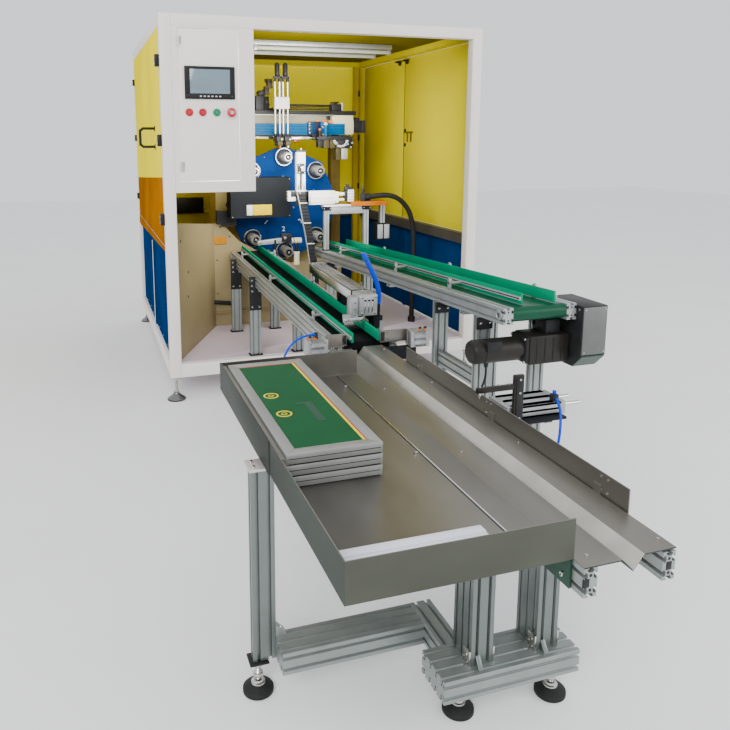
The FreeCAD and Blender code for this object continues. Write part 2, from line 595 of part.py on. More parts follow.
def guide(conveyor, x, start, end, tall, brackets, side):
    """A side guide standing just above the belt, held by arms from the profile at its side."""
    blade = block("guide_blade", (x, f"{x} + 8"), (start, end), ("3", f"3 + {tall}"), LOCAL)
    strip = block("guide_strip", (f"{x} - 6", x) if side < 0 else (f"{x} + 8", f"{x} + 14"),
                  (start, end), (f"3 + {tall} / 3", f"3 + 2 * {tall} / 3"), LOCAL)
    edge = f"{conveyor}Half + 6"
    arms = []
    for y in brackets:
        if side < 0:
            arm_span, foot_span = (f"-({edge}) - 8", f"{x} - 6"), (f"-({edge}) - 8", f"-({edge}) + 2")
        else:
            arm_span, foot_span = (f"{x} + 14", f"{edge} + 8"), (f"{edge} - 2", f"{edge} + 8")
        arms.append(block("guide_arm", arm_span, (y, f"{y} + 20"),
                          (f"3 + {tall} / 2 - 4", f"3 + {tall} / 2 + 4"), LOCAL))
        arms.append(block("guide_foot", foot_span, (y, f"{y} + 20"), ("0", f"3 + {tall} / 2 - 4"), LOCAL))
    return tilted(fused("guide", [blade, strip] + arms), conveyor)


def conveyors():
    conveyor_frame("infeed_frame", "In", ("400", "1000", "1700"))
    conveyor_frame("outfeed_frame", "Out", ("350", "1100", "1900"))
    keep("conveyor_belts", together("belts", [belt("In"), belt("Out")]))
    roller("infeed_drive_roller", "In", "InRoller")
    roller("infeed_tail_roller", "In", "InLong - InRoller")
    roller("outfeed_drive_roller", "Out", "OutRoller")
    roller("outfeed_tail_roller", "Out", "OutLong - OutRoller")

    guides = [guide("In", "-62", "0", "InLong - 40", "38", ("350", "1100", "1800"), -1),
              guide("In", "46", "0", "InLong - 40", "38", ("300", "1000", "1800"), 1),
              guide("Out", "-60", "30", "OutLong - 60", "GuardTall", ("450", "1000", "1800"), -1),
              guide("Out", "72", "20", "OutLong - 60", "GuardTall", ("200", "900", "1700"), 1)]
    keep("guide_rails", together("guides", guides))

    stands = []
    for x in ("450", "700"):
        stands.append(post("In", x, "60", "60", "30", FLOOR))
        stands.append(post("In", x, "60", "590", "30", FLOOR))
    for x in ("988", "1232"):
        stands.append(post("Out", x, "60", "330", "30", FLOOR))
        for y in ("-1120", "-1460"):
            stands.append(post("Out", x, "60", y, "30", "FootPlate"))
            stands.append(block("foot_plate", (f"{x} - 15", f"{x} + 75"), (f"{y} - 55", f"{y} + 25"),
                                ("0", "FootPlate")))
    tie = block("tie_beam", ("1003", "1033"), ("-1460", "-1150"), ("460", "520"))
    lug = block("cable_lug", ("962", "988"), ("-1488", "-1462"), ("438", "446"))
    gland = rod("cable_gland", "Z", ("975", "-1475", "414"), "24", "8")
    keep("support_posts", together("stands", stands + [tie, fused("cable_clip", [lug, gland])]))


def on_frame(conveyor, y):
    """Height of a conveyor's top face at a place along the row's Y axis."""
    return f"{conveyor}Z + (({y}) - ({conveyor}Y)) * tan({conveyor}Tilt)"


def post(conveyor, x, wide, back, deep, low):
    """An upright that ends just under a conveyor's side profile; back is its rear face."""
    lower_face = "back" if number(f"{conveyor}Tilt") < 0 else "front"
    reach = back if lower_face == "back" else f"({back}) - ({deep})"
    top = f"{on_frame(conveyor, reach)} - {conveyor}ProfileTall / cos({conveyor}Tilt) - 0.1"
    return block("support_post", (x, f"{x} + {wide}"), (f"({back}) - ({deep})", back), (low, top))


# ---------------------------------------------------------------- pneumatics on the infeed

INFEED_SIDE = "InX + InHalf + 2 + InProfile"


def pneumatics():
    """Cylinder bodies round the infeed and over the carousel, and the plates that they move."""
    drive = fused("pusher_cylinder", [
        block("cylinder_tube", ("35", "95"), ("250", "830"), ("98", "150"), LOCAL),
        block("cylinder_rail", ("24", "35"), ("250", "830"), ("104", "144"), LOCAL),
        block("cylinder_head", ("23", "100"), ("140", "250"), ("64", "150"), LOCAL),
        block("cylinder_foot", ("95", "125"), ("560", "620"), ("0", "120"), LOCAL),
        block("cylinder_leg", ("98", "125"), ("170", "230"), ("0", "100"), LOCAL)])
    gates = []
    for name, body, bracket in (("left", ("-256", "-176"), ("-200", "-155")),
                                ("right", ("158", "236"), ("57", "182"))):
        gates.append(fused(f"{name}_gate_cylinder", [
            block("gate_body", body, ("-60", "-8"), ("-17", "44"), LOCAL),
            block("gate_bracket", bracket, ("-60", "-16"), ("-60", "-17"), LOCAL)]))
    elbow = fused("gate_elbow", [rod("elbow_stem", "Z", ("390", "-1362", "683.4"), "22.6", "8"),
                                 rod("elbow_port", "X", ("378", "-1362", "698"), "14", "7")])
    valve = block("valve_block", ("730", "802"), ("-1030", "-970"), ("600", "664"))
    white = block("unload_cylinder", ("905", "1079"), ("352", "401"), ("1010", "1095"))
    nose = block("unload_nose", ("1079", "1150"), ("360", "395"), ("1030", "1080"))
    small = block("load_valve", ("773", "822"), ("395", "435"), ("1036", "1096"))
    small_arm = block("valve_arm", ("822", "830"), ("402", "430"), ("1040", "1090"))
    transfer = fused("transfer_unit", [
        block("transfer_bracket", (INFEED_SIDE, f"{INFEED_SIDE} + 12"), ("570", "610"), ("640", "780")),
        block("transfer_bar", ("625", "790"), ("575", "605"), ("748", "784")),
        block("transfer_elbow", ("775", "872"), ("570", "615"), ("765", "815")),
        block("transfer_head", ("853", "912"), ("572", "612"), ("745", "788")),
        rod("transfer_cylinder", "Z", ("882", "592", "611"), "150", "20")])
    guide_block = block("rod_guide", ("SqueegeeX - 22", "FloodX + 22"), ("HeadY - 20", "HeadY + 25"),
                        ("GuideLow", "GuideTop"))
    holes = [rod("guide_bore", "Z", (f"{x} + {side} * RodPitch / 2", "HeadY", "GuideLow - 1"), "80",
                 "RodRadius + Run") for x in ("SqueegeeX", "FloodX") for side in (-1, 1)]
    keep("air_cylinders", together("cylinders", [tilted(item, "In") for item in [drive] + gates] + [
        elbow, valve, fused("unload_unit", [white, nose]), fused("load_unit", [small, small_arm]),
        less("rod_guide_block", guide_block, holes), transfer]))

    keep("infeed_pusher", tilted(fused("pusher_parts", [
        block("pusher_saddle", ("-10", "22"), ("150", "200"), ("50", "140"), LOCAL),
        block("pusher_bar", ("-40", "-10"), ("150", "170"), ("50", "70"), LOCAL),
        block("pusher_plate", ("-45", "40"), ("140", "150"), ("6", "60"), LOCAL)]), "In"))
    for name, plate, link in (("left_gate", ("-165", "-90"), ("-174", "-165")),
                              ("right_gate", ("45", "148"), ("148", "156"))):
        keep(name, tilted(fused(f"{name}_parts", [
            block("gate_plate", plate, ("-24", "-20"), ("2", "50"), LOCAL),
            block("gate_link", link, ("-44", "-20"), ("2", "50"), LOCAL)]), "In"))


# ---------------------------------------------------------------- outfeed drive

def outfeed_drive():
    motor = rod("motor", "X", ("905", "-1585", "645"), "205", "45")
    gearbox = block("gearbox", ("1110", "1292"), ("-1640", "-1530"), ("590", "700"))
    hanger = block("hanger", ("1200", "1260"), ("-1620", "-1550"), ("700", "752"))
    cover = padded("drive_cover", "YZ_Plane", [
        ("-1700", "625"), ("-1650", "575"), ("-1540", "575"), ("-1490", "625"),
        ("-1490", "812"), ("-1700", "812")], "108")
    put(cover, "1296", "0", "0")
    gland = rod("motor_gland", "Z", ("975", "-1585", "585"), "20", "8")
    keep("outfeed_drive", together("drive_unit", [fused("gearmotor", [motor, gearbox, hanger, gland]),
                                                  cover]))


# ---------------------------------------------------------------- loading table and chute

def table():
    top = "TrayFloor + TrayTall"
    floor = block("tray_floor", ("TrayLeft", "TraySeam"), ("TrayFront", "TrayBack"),
                  ("TrayFloor", "TrayFloor + Wall"))
    left = block("tray_left", ("TrayLeft", "TrayLeft + Wall"), ("TrayFront", "TrayBack"),
                 ("TrayFloor", top))
    front = block("tray_front", ("TrayLeft", "TraySeam"), ("TrayFront", "TrayFront + Wall"),
                  ("TrayFloor", top))
    back = block("tray_back", ("TrayLeft", "TraySeam"), ("TrayBack - Wall", "TrayBack"),
                 ("TrayFloor", top))
    keep("tray_table", fused("tray", [floor, left, front, back]))

    # folded sheet: flat, down into the groove, up its far side, flat again
    upper = [("TraySeam + 1", "TrayFloor"), ("536", "TrayFloor"), ("562", "TrayFloor - 26"),
             ("586", "TrayFloor + 4"), ("RightRail + RailWide", "TrayFloor + 4")]
    lower = [(x, f"{z} - Wall") for x, z in reversed(upper)]
    trough = padded("trough", "XZ_Plane", upper + lower, "-1345 - RailFront")
    put(trough, "0", "-1345", "0")
    fence = block("fence", ("665", "668"), ("-2686", "-1560"), ("604", "682"))
    fence_feet = [block("fence_foot", ("RightRail + RailWide", "665"), (y, f"{y} + 24"),
                        ("600", "650")) for y in ("-2600", "-2150", "-1700")]
    keep("chute", together("trough_and_fence", [trough, fused("fence_parts", [fence] + fence_feet)]))

    rails = [block("chute_rail", ("LeftRail", "LeftRail + RailWide"), ("RailFront", "-1100"),
                   ("RailLow", "RailLow + RailTall")),
             block("chute_rail", ("RightRail", "RightRail + RailWide"), ("RailFront", "-1345"),
                   ("RailLow", "RailLow + RailTall"))]

    port = rod("rail_port", "X", ("432", "-1490", "593"), "18", "8")
    left_leg = block("left_leg", ("-50", "10"), ("-2220", "-2190"), ("95", "618"))
    leg_plate = block("leg_plate", ("-56", "14"), ("-2236", "-2176"), ("618", "TrayFloor"))
    beam = block("cross_beam", ("10", "395"), ("-2290", "-2200"), ("95", "155"))
    base = block("base_beam", ("345", "720"), ("-2500", "-2380"), ("95", "155"))
    bridge = block("beam_bridge", ("395", "455"), ("-2380", "-2200"), ("95", "155"))
    legs = [block("right_leg", (x, f"{x} + LegWide"), ("-2470", "-2380"), ("155", "RailLow"))
            for x in ("430", "613")]
    bars = [fused("left_rail", [rails[0], port]), rails[1], left_leg, leg_plate, beam, base, bridge]
    keep("table_frame", together("frame_bars", bars + legs))

    screens = []
    for level in range(3):
        low = f"TrayFloor + Wall + {level} * ScreenBar"
        high = f"{low} + ScreenBar - 1"
        xs = ("2", "2 + ScreenWide")
        ys = ("-1672 - ScreenLong", "-1672")
        frame = block("screen_frame", xs, ys, (low, high))
        window = block("screen_window", (f"{xs[0]} + ScreenBar", f"{xs[1]} - ScreenBar"),
                       (f"{ys[0]} + ScreenBar", f"{ys[1]} - ScreenBar"), (f"{low} - 1", f"{high} - 3"))
        screens.append(less(f"print_screen_{level}", frame, [window]))
    keep("print_screens", together("screens", screens))


EJECT_RODS = ("-2075", "-2020")


def ejector():
    """A twin-rod cylinder on a shelf beside the chute, with a post and arm in front of it."""
    shelf = block("shelf", ("RightRail + RailWide", "930"), ("-2122", "-1995"), ("592", "600"))
    body = block("twin_cylinder", ("740", "940"), ("-2100", "-1995"), ("600", "640"))
    bores = [rod("rod_bore", "X", ("739", y, "EjectLevel"), "202", "RodRadius + Run") for y in EJECT_RODS]
    upright = block("upright", ("750", "782"), ("-2116", "-2104"), ("600", "742"))
    arm = block("arm", ("630", "750"), ("-2116", "-2104"), ("700", "716"))
    lower = rod("lower_cylinder", "X", ("760", "-2050", "574"), "165", "18")
    elbow = block("elbow", ("895", "915"), ("-2100", "-2080"), ("640", "662"))
    hose_port = block("hose_port", ("RightRail + RailWide", "692"), ("-2151", "-2125"), ("563", "592"))
    cylinder = less("cylinder_body", fused("cylinder_outside", [body, elbow]), bores)
    keep("ejector_stand", together("ejector", [fused("shelf_unit", [shelf, upright, arm, lower, hose_port]),
                                               cylinder]))
    rods = [rod("slide_rod", "X", ("698", y, "EjectLevel"), "312", "RodRadius") for y in EJECT_RODS]
    plate = block("push_plate", ("690", "700"), ("-2095", "-2002"), ("606", "634"))
    keep("ejector_slide", fused("slide", rods + [plate]))


# ---------------------------------------------------------------- hoses and cables

# Each route is the points of a free cord, in millimetres from the cabinet's corner.
CONDUIT_ROUTE = [
    (1310, 405, 1050), (1405, 409, 1064), (1505, 418, 1040), (1585, 430, 965), (1625, 445, 860),
    (1640, 458, 745), (1644, 467, 620), (1641, 471, 490), (1640, 470, 362), (1640, 470.5, 240)]
MOTOR_CABLE_ROUTE = [
    (975, -1585, 585), (978, -1584, 555), (971, -1581, 520), (955, -1576, 485), (936, -1568, 449),
    (921, -1553, 413), (918, -1530, 379), (930, -1504, 354), (953, -1487, 353), (972, -1478, 377),
    (976, -1475, 414)]
GATE_HOSE_ROUTE = [
    (378, -1362, 698), (345, -1364, 697), (308, -1370, 683), (276, -1382, 657), (253, -1400, 623),
    (243, -1422, 584), (250, -1446, 547), (272, -1466, 520), (306, -1478, 509), (343, -1484, 517),
    (378, -1488, 540), (407, -1490, 568), (432, -1490, 589)]
HOSE_BUNDLE_ROUTE = [
    (778, -1000, 664), (788, -1000, 704), (791, -1001, 748), (781, -1003, 795), (761, -1004, 843),
    (737, -1002, 890), (715, -998, 932)]
EJECTOR_HOSE_ROUTE = [
    (905, -2100, 651), (898, -2129, 638), (887, -2151, 608), (878, -2163, 572), (868, -2169, 532),
    (852, -2169, 493), (826, -2164, 462), (792, -2157, 446), (754, -2150, 450), (720, -2144, 471),
    (696, -2140, 504), (680, -2138, 536), (677, -2138, 563)]


def lines():
    keep("cable_conduit", tube_along("conduit_tube", CONDUIT_ROUTE, 16))
    keep("motor_cable", tube_along("motor_cable_tube", MOTOR_CABLE_ROUTE, 4))
    keep("gate_hose", tube_along("gate_hose_tube", GATE_HOSE_ROUTE, 4))
    keep("hose_bundle", tube_along("hose_bundle_tube", HOSE_BUNDLE_ROUTE, 11))
    keep("ejector_hose", tube_along("ejector_hose_tube", EJECTOR_HOSE_ROUTE, 4))


cabinet()
side_doors()
control_box()
machine_bed()
carousel()
print_head()
loader()
conveyors()
pneumatics()
outfeed_drive()
table()
ejector()
lines()
doc.recompute()

failed = [item.Name for item in doc.Objects if "Invalid" in item.State or "Error" in item.State]
bad = [item.Label for item in nodes if item.Shape.isNull() or not item.Shape.isValid()]
if failed or bad:
    raise RuntimeError(f"failed objects {failed}, bad shapes {bad}")
labels = [item.Label for item in nodes]
if len(set(labels)) != len(labels):
    raise RuntimeError("two sub-parts share a name")

os.makedirs("parts", exist_ok=True)
for item in nodes:
    item.Shape.exportStep(f"parts/{item.Label}.step")
print(len(nodes), "sub-parts written")
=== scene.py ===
import json
import math

import bmesh
import bpy
from mathutils import Matrix, Vector


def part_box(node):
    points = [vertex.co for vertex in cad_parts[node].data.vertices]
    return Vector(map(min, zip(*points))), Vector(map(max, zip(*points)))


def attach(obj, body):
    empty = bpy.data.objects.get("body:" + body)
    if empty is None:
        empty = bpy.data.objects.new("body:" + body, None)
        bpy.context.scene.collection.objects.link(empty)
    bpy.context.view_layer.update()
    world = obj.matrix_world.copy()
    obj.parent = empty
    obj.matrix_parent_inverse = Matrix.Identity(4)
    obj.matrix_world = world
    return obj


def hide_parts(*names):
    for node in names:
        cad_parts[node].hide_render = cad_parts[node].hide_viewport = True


# The looks of an automatic screen printing machine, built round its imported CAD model.
# Pieces are drawn in millimetres from the cabinet's front left corner, as the CAD is, or in a
# conveyor's own frame, and put into the row frame in metres when each one is finished.

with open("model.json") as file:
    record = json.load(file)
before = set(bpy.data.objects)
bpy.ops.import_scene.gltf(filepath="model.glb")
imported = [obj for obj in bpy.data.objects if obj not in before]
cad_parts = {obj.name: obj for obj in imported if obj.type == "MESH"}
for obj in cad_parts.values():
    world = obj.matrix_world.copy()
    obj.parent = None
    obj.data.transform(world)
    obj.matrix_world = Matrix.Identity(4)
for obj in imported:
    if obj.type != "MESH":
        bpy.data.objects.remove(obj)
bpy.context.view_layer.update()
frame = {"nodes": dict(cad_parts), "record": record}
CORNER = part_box("cabinet_posts")[0].copy()
CORNER.z = 0
MACHINE = Matrix.Translation(CORNER) @ Matrix.Scale(0.001, 4)
WIDE, DEEP = [value * 1000 for value in (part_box("cabinet_posts")[1] - CORNER)[:2]]
TUBE = (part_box("back_panel")[0].x - CORNER.x) * 1000
INNER_X, INNER_Y = WIDE - TUBE, DEEP - TUBE
BODY_OF = {node: body for body, nodes in frame["record"]["behaviour"]["bodies"].items() for node in nodes}


def row(x, y, z):
    """A point in millimetres from the cabinet's corner, in the row frame."""
    return MACHINE @ Vector((x, y, z))


def span(node):
    """A CAD node's lowest and highest corner, in millimetres from the cabinet's corner."""
    low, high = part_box(node)
    return (low - CORNER) * 1000, (high - CORNER) * 1000


def solids(node):
    """The box of each separate solid in a CAD node, in millimetres from the cabinet's corner."""
    bm = bmesh.new()
    bm.from_mesh(frame["nodes"][node].data)
    bmesh.ops.remove_doubles(bm, verts=bm.verts, dist=1e-6)
    left = set(bm.verts)
    found = []
    while left:
        reached = [left.pop()]
        for vert in reached:
            near = [edge.other_vert(vert) for edge in vert.link_edges]
            fresh = [other for other in near if other in left]
            left.difference_update(fresh)
            reached.extend(fresh)
        places = [(vert.co - CORNER) * 1000 for vert in reached]
        found.append(tuple(Vector([pick(p[i] for p in places) for i in range(3)])
                           for pick in (min, max)))
    bm.free()
    return sorted(found, key=lambda box: tuple(round(value) for value in (*box[0], *box[1])))


# ---------------------------------------------------------------- camera, light, floor

def camera():
    """The view of the photo: a camera fitted to the cabinet's corners and the conveyors' ends."""
    data = bpy.data.cameras.new("camera")
    data.sensor_width = 36
    data.lens = 36
    data.shift_x, data.shift_y = 0.062, -0.137
    seen = bpy.data.objects.new("camera", data)
    seen.location = row(-400, -3852, 1414)
    look_down, turn_right = 0.1726, 0.3128
    seen.rotation_euler = (math.pi / 2 - look_down, 0, -turn_right)
    bpy.context.scene.collection.objects.link(seen)
    bpy.context.scene.camera = seen


def lamp(name, place, aim, size, power, colour=(1, 1, 1)):
    """An area light at a place, in metres, turned towards another."""
    data = bpy.data.lights.new(name, "AREA")
    data.size = size
    data.energy = power
    data.color = colour
    light = bpy.data.objects.new(name, data)
    light.location = place
    light.rotation_euler = (Vector(aim) - Vector(place)).to_track_quat("-Z", "Y").to_euler()
    bpy.context.scene.collection.objects.link(light)


def studio():
    """A pale sky, three lights and a paper floor that is only staging."""
    world = bpy.data.worlds.new("studio")
    bpy.context.scene.world = world
    world.use_nodes = True
    background = world.node_tree.nodes["Background"]
    background.inputs["Color"].default_value = (0.95, 0.97, 1, 1)
    background.inputs["Strength"].default_value = 1.2
    lamp("key", (-3.5, -6.0, 4.2), (0, -0.3, 0.8), 3.5, 330)
    lamp("fill", (4.5, -4.5, 2.8), (0.2, 0.5, 0.9), 3.0, 130)
    lamp("inside", (-0.2, 0.6, 1.5), (-0.1, 2.3, 1.2), 0.9, 32, (1, 0.97, 0.9))
    floor = bpy.data.meshes.new("floor")
    reach = 14
    floor.from_pydata([(-reach, -reach, 0), (reach, -reach, 0), (reach, reach, 0), (-reach, reach, 0)], [],
                      [(0, 1, 2, 3)])
    ground = bpy.data.objects.new("floor", floor)
    bpy.context.scene.collection.objects.link(ground)
    ground.data.materials.append(finish("floor_paper", (0.92, 0.92, 0.92), 0.8, tint=0.015, grain=2,
                                        spec=0.1))


# ---------------------------------------------------------------- materials

def finish(name, colour, rough, metal=0.0, tint=0.1, grain=18, stretch=(1, 1, 1), bump=0.0,
           fine=500, coat=0.0, anisotropy=0.0, uneven=0.08, spec=0.3):
    """A procedural surface: a clouded colour, an uneven gloss and a fine bump."""
    made = bpy.data.materials.new(name)
    made.use_nodes = True
    nodes = made.node_tree.nodes
    links = made.node_tree.links
    shader = nodes["Principled BSDF"]
    shader.inputs["Metallic"].default_value = metal
    shader.inputs["Specular IOR Level"].default_value = spec
    shader.inputs["Coat Weight"].default_value = coat
    shader.inputs["Anisotropic"].default_value = anisotropy
    where = nodes.new("ShaderNodeTexCoord")
    size = nodes.new("ShaderNodeMapping")
    size.inputs["Scale"].default_value = stretch
    links.new(where.outputs["Object"], size.inputs["Vector"])
    cloud = nodes.new("ShaderNodeTexNoise")
    cloud.inputs["Scale"].default_value = grain
    cloud.inputs["Detail"].default_value = 7
    links.new(size.outputs["Vector"], cloud.inputs["Vector"])
    shade = nodes.new("ShaderNodeValToRGB")
    shade.color_ramp.elements[0].position = 0.3
    shade.color_ramp.elements[1].position = 0.7
    shade.color_ramp.elements[0].color = (*[c * (1 - tint) for c in colour], 1)
    shade.color_ramp.elements[1].color = (*[min(1, c * (1 + tint)) for c in colour], 1)
    links.new(cloud.outputs["Fac"], shade.inputs["Fac"])
    links.new(shade.outputs["Color"], shader.inputs["Base Color"])
    gloss = nodes.new("ShaderNodeMapRange")
    gloss.inputs["To Min"].default_value = max(0.02, rough - uneven)
    gloss.inputs["To Max"].default_value = min(1, rough + uneven)
    links.new(cloud.outputs["Fac"], gloss.inputs["Value"])
    links.new(gloss.outputs["Result"], shader.inputs["Roughness"])
    if bump:
        grit = nodes.new("ShaderNodeTexNoise")
        grit.inputs["Scale"].default_value = fine
        grit.inputs["Detail"].default_value = 3
        links.new(size.outputs["Vector"], grit.inputs["Vector"])
        relief = nodes.new("ShaderNodeBump")
        relief.inputs["Strength"].default_value = bump
        relief.inputs["Distance"].default_value = 0.001
        links.new(grit.outputs["Fac"], relief.inputs["Height"])
        links.new(relief.outputs["Normal"], shader.inputs["Normal"])
    return made


WHITE = finish("white_powder_coat", (0.84, 0.79, 0.73), 0.45, tint=0.025, grain=3, bump=0.12, fine=900)
SCREEN_WHITE = finish("white_door_coat", (0.88, 0.84, 0.79), 0.42, tint=0.02, grain=4, bump=0.12, fine=900)
ROOF = finish("roof_sheet", (0.12, 0.10, 0.0005), 0.5, tint=0.08, grain=4, bump=0.05, spec=0)
FLOOR_SHEET = finish("floor_sheet", (0.70, 0.60, 0.66), 0.5, tint=0.04, grain=3, bump=0.1, spec=0.2)
YELLOW = finish("yellow_acrylic", (0.62, 0.535, 0.0), 0.34, tint=0.04, grain=2, uneven=0.04, spec=0)
# painted light: the back sheet is the side doors' yellow acrylic made brighter, as if lit from behind
YELLOW_BACKLIT = finish("yellow_back_sheet_painted_backlight", (0.95, 0.84, 0.0), 0.34, tint=0.05, grain=2, uneven=0.04, spec=0)
AMBER = finish("amber_acrylic", (0.95, 0.78, 0.003), 0.3, tint=0.08, grain=2, uneven=0.04, spec=0)
BLUE = finish("blue_gloss_panel", (0.0015, 0.034, 0.13), 0.45, tint=0.25, grain=3, uneven=0.05, spec=0)
TAN = finish("tan_enamel", (0.30, 0.24, 0.12), 0.45, tint=0.07, grain=5, bump=0.08, fine=300, spec=0.2)
CREAM = finish("cream_enamel", (0.50, 0.42, 0.17), 0.45, tint=0.08, grain=5, bump=0.06, spec=0.2)
DISC = finish("blue_disc_enamel", (0.002, 0.034, 0.155), 0.4, tint=0.28, grain=9, bump=0.12, fine=120,
              uneven=0.12, spec=0.03)
ALUMINIUM = finish("anodised_extrusion", (0.18, 0.205, 0.195), 0.36, metal=0.75, tint=0.08, grain=14,
                   bump=0.05, fine=700)
ALU_PALE = finish("pale_extrusion", (0.40, 0.425, 0.42), 0.36, metal=0.6, tint=0.08, grain=14, bump=0.05,
                  fine=700)
RAIL_GREY = finish("grey_rail_liner", (0.075, 0.070, 0.058), 0.4, metal=0.3, tint=0.15, grain=6)
ALU_POST = finish("post_extrusion", (0.29, 0.32, 0.31), 0.36, metal=0.65, tint=0.08, grain=14, bump=0.05,
                  fine=700)
CHROME_DARK = finish("dark_chrome", (0.20, 0.20, 0.195), 0.16, metal=1, tint=0.05, grain=20)
CAST = finish("cylinder_alloy", (0.40, 0.41, 0.41), 0.42, metal=0.7, tint=0.08, grain=30, bump=0.1)
STEEL = finish("ground_steel", (0.62, 0.62, 0.62), 0.2, metal=1.0, tint=0.06, grain=30, bump=0.03)
BRUSHED = finish("brushed_stainless", (0.225, 0.213, 0.188), 0.40, metal=0.85, tint=0.3, grain=4,
                 stretch=(1, 0.35, 1), bump=0.06, fine=420, anisotropy=0.4, uneven=0.14)
STEEL_SHADE = finish("stainless_in_shade", (0.036, 0.044, 0.037), 0.55, metal=0.2, tint=0.25, grain=5,
                     stretch=(1, 0.4, 1), bump=0.05, spec=0.1)
# painted shade: a darker copy of the brushed stainless, for the tray's front face
STEEL_FRONT_SHADED = finish("stainless_front_painted_shade", (0.070, 0.074, 0.060), 0.5, metal=0.3, tint=0.25, grain=5,
                     stretch=(0.4, 1, 1), bump=0.05, spec=0.1)
# partly wear and partly painted highlight: a lighter steel for the lit right slope of the chute's V groove
WORN_AND_LIT = finish("worn_and_highlit_bevel_steel", (0.47, 0.455, 0.41), 0.32, metal=0.65, tint=0.16, grain=9, bump=0.04)
DARK = finish("black_oxide", (0.022, 0.022, 0.023), 0.42, metal=0.3, tint=0.25, grain=20, bump=0.08,
              spec=0.2)
GREY = finish("dark_grey_cover", (0.011, 0.013, 0.016), 0.5, tint=0.12, grain=8, bump=0.15, fine=400,
              spec=0.08)
BLACK = finish("black_plastic", (0.014, 0.014, 0.015), 0.45, tint=0.2, grain=25, bump=0.1, spec=0.2)
RUBBER = finish("black_rubber", (0.014, 0.014, 0.014), 0.62, tint=0.2, grain=30, bump=0.25, fine=300,
                spec=0.2)
BELT = finish("green_belt", (0.001, 0.06, 0.028), 0.3, tint=0.12, grain=6, bump=0.08, fine=900, spec=0.2)
BLACK_BELT = finish("black_belt", (0.002, 0.002, 0.0025), 0.5, tint=0.25, grain=8, bump=0.2, fine=700,
                    spec=0.05)
GREEN = finish("green_guide_strip", (0.0, 0.25, 0.125), 0.4, tint=0.08, grain=8, bump=0.06, spec=0)
SKY_DEEP = finish("deep_blue_slide", (0.0, 0.04, 0.11), 0.35, tint=0.1, grain=12, bump=0.04, spec=0.1)
SKY = finish("sky_blue_rail", (0.0, 0.10, 0.26), 0.35, tint=0.1, grain=12, bump=0.04, spec=0.1)
RED = finish("red_button", (0.52, 0.012, 0.03), 0.28, tint=0.1, grain=60, coat=0.4)
BUTTON_GREEN = finish("green_button", (0.01, 0.25, 0.11), 0.28, tint=0.1, grain=60, coat=0.4)
TUBE_BLUE = finish("blue_air_tube", (0.0, 0.045, 0.52), 0.3, tint=0.12, grain=60, spec=0.15)
MESH_GREEN = finish("screen_emulsion", (0.002, 0.075, 0.024), 0.5, tint=0.15, grain=7, bump=0.3, fine=1500,
                    spec=0.1)
ORANGE = finish("orange_strip", (0.75, 0.20, 0.02), 0.35, tint=0.15, grain=30)
LABEL = finish("blank_yellow_label", (0.62, 0.47, 0.0), 0.4, tint=0.08, grain=60, spec=0)
LABEL_ORANGE = finish("blank_orange_label", (0.50, 0.20, 0.005), 0.45, tint=0.12, grain=80, spec=0.1)
PALE = finish("pale_plastic", (0.60, 0.595, 0.57), 0.4, tint=0.04, grain=20)
STRIP = finish("pale_plastic_strip", (0.74, 0.74, 0.82), 0.35, tint=0.06, grain=20)
SCREEN = finish("touch_screen", (0.16, 0.23, 0.27), 0.12, tint=0.06, grain=10, coat=0.8)
LAMP_TUBE = finish("lamp_tube", (0.42, 0.44, 0.40), 0.3, tint=0.02, grain=10)
ZINC = finish("zinc_plate", (0.58, 0.57, 0.54), 0.25, metal=1.0, tint=0.1, grain=60, bump=0.05)
INK_YELLOW = finish("yellow_edge_ink", (0.80, 0.66, 0.02), 0.4, tint=0.08, grain=60)
INK_RED = finish("red_edge_ink", (0.62, 0.03, 0.02), 0.4, tint=0.1, grain=60)
AMBER_LOW = finish("amber_lower_acrylic", (0.34, 0.12, 0.0), 0.3, tint=0.25, grain=2.5, uneven=0.04, spec=0)
CHROME_WHITE = finish("polished_nose", (0.42, 0.41, 0.38), 0.3, metal=0.5, tint=0.05, grain=40)
CHALK = finish("white_numeral", (0.70, 0.74, 0.80), 0.5, tint=0.05, grain=80)
CREAM_PALE = finish("cream_beam", (0.62, 0.58, 0.40), 0.45, tint=0.06, grain=6, bump=0.05, spec=0.2)
BLADE = finish("urethane_blade", (0.34, 0.12, 0.03), 0.4, tint=0.1, grain=40)
ORANGE_DULL = finish("orange_plate", (0.36, 0.10, 0.004), 0.45, tint=0.15, grain=30, spec=0.03)
MOTOR = finish("motor_casting", (0.022, 0.020, 0.017), 0.4, metal=0.3, tint=0.2, grain=12, bump=0.1,
               spec=0.25)
COVER_FACE = finish("grey_cover_face", (0.135, 0.14, 0.135), 0.38, metal=0.4, tint=0.14, grain=10)
GREEN_DARK = finish("dark_green_bevel", (0.012, 0.045, 0.028), 0.3, metal=0.3, tint=0.2, grain=10)
PALE_PINK = finish("zinc_end_plate", (0.60, 0.54, 0.53), 0.35, metal=0.6, tint=0.06, grain=30)
FRAME_ALU = finish("screen_frame_aluminium", (0.33, 0.335, 0.325), 0.42, metal=0.7, tint=0.1, grain=12,
                   stretch=(1, 0.2, 1), bump=0.08, fine=300)
INK_GREEN = finish("stencil_mark", (0.010, 0.055, 0.030), 0.5, tint=0.15, grain=60)
OLIVE = finish("olive_valve_body", (0.055, 0.045, 0.016), 0.5, tint=0.3, grain=30, bump=0.1, spec=0.2)
BROWN = finish("brown_column_paint", (0.10, 0.068, 0.012), 0.45, tint=0.25, grain=6, bump=0.05, spec=0.15)
CREAM_POST = finish("cream_corner_liner", (0.50, 0.38, 0.03), 0.45, tint=0.1, grain=3, bump=0.05, spec=0)
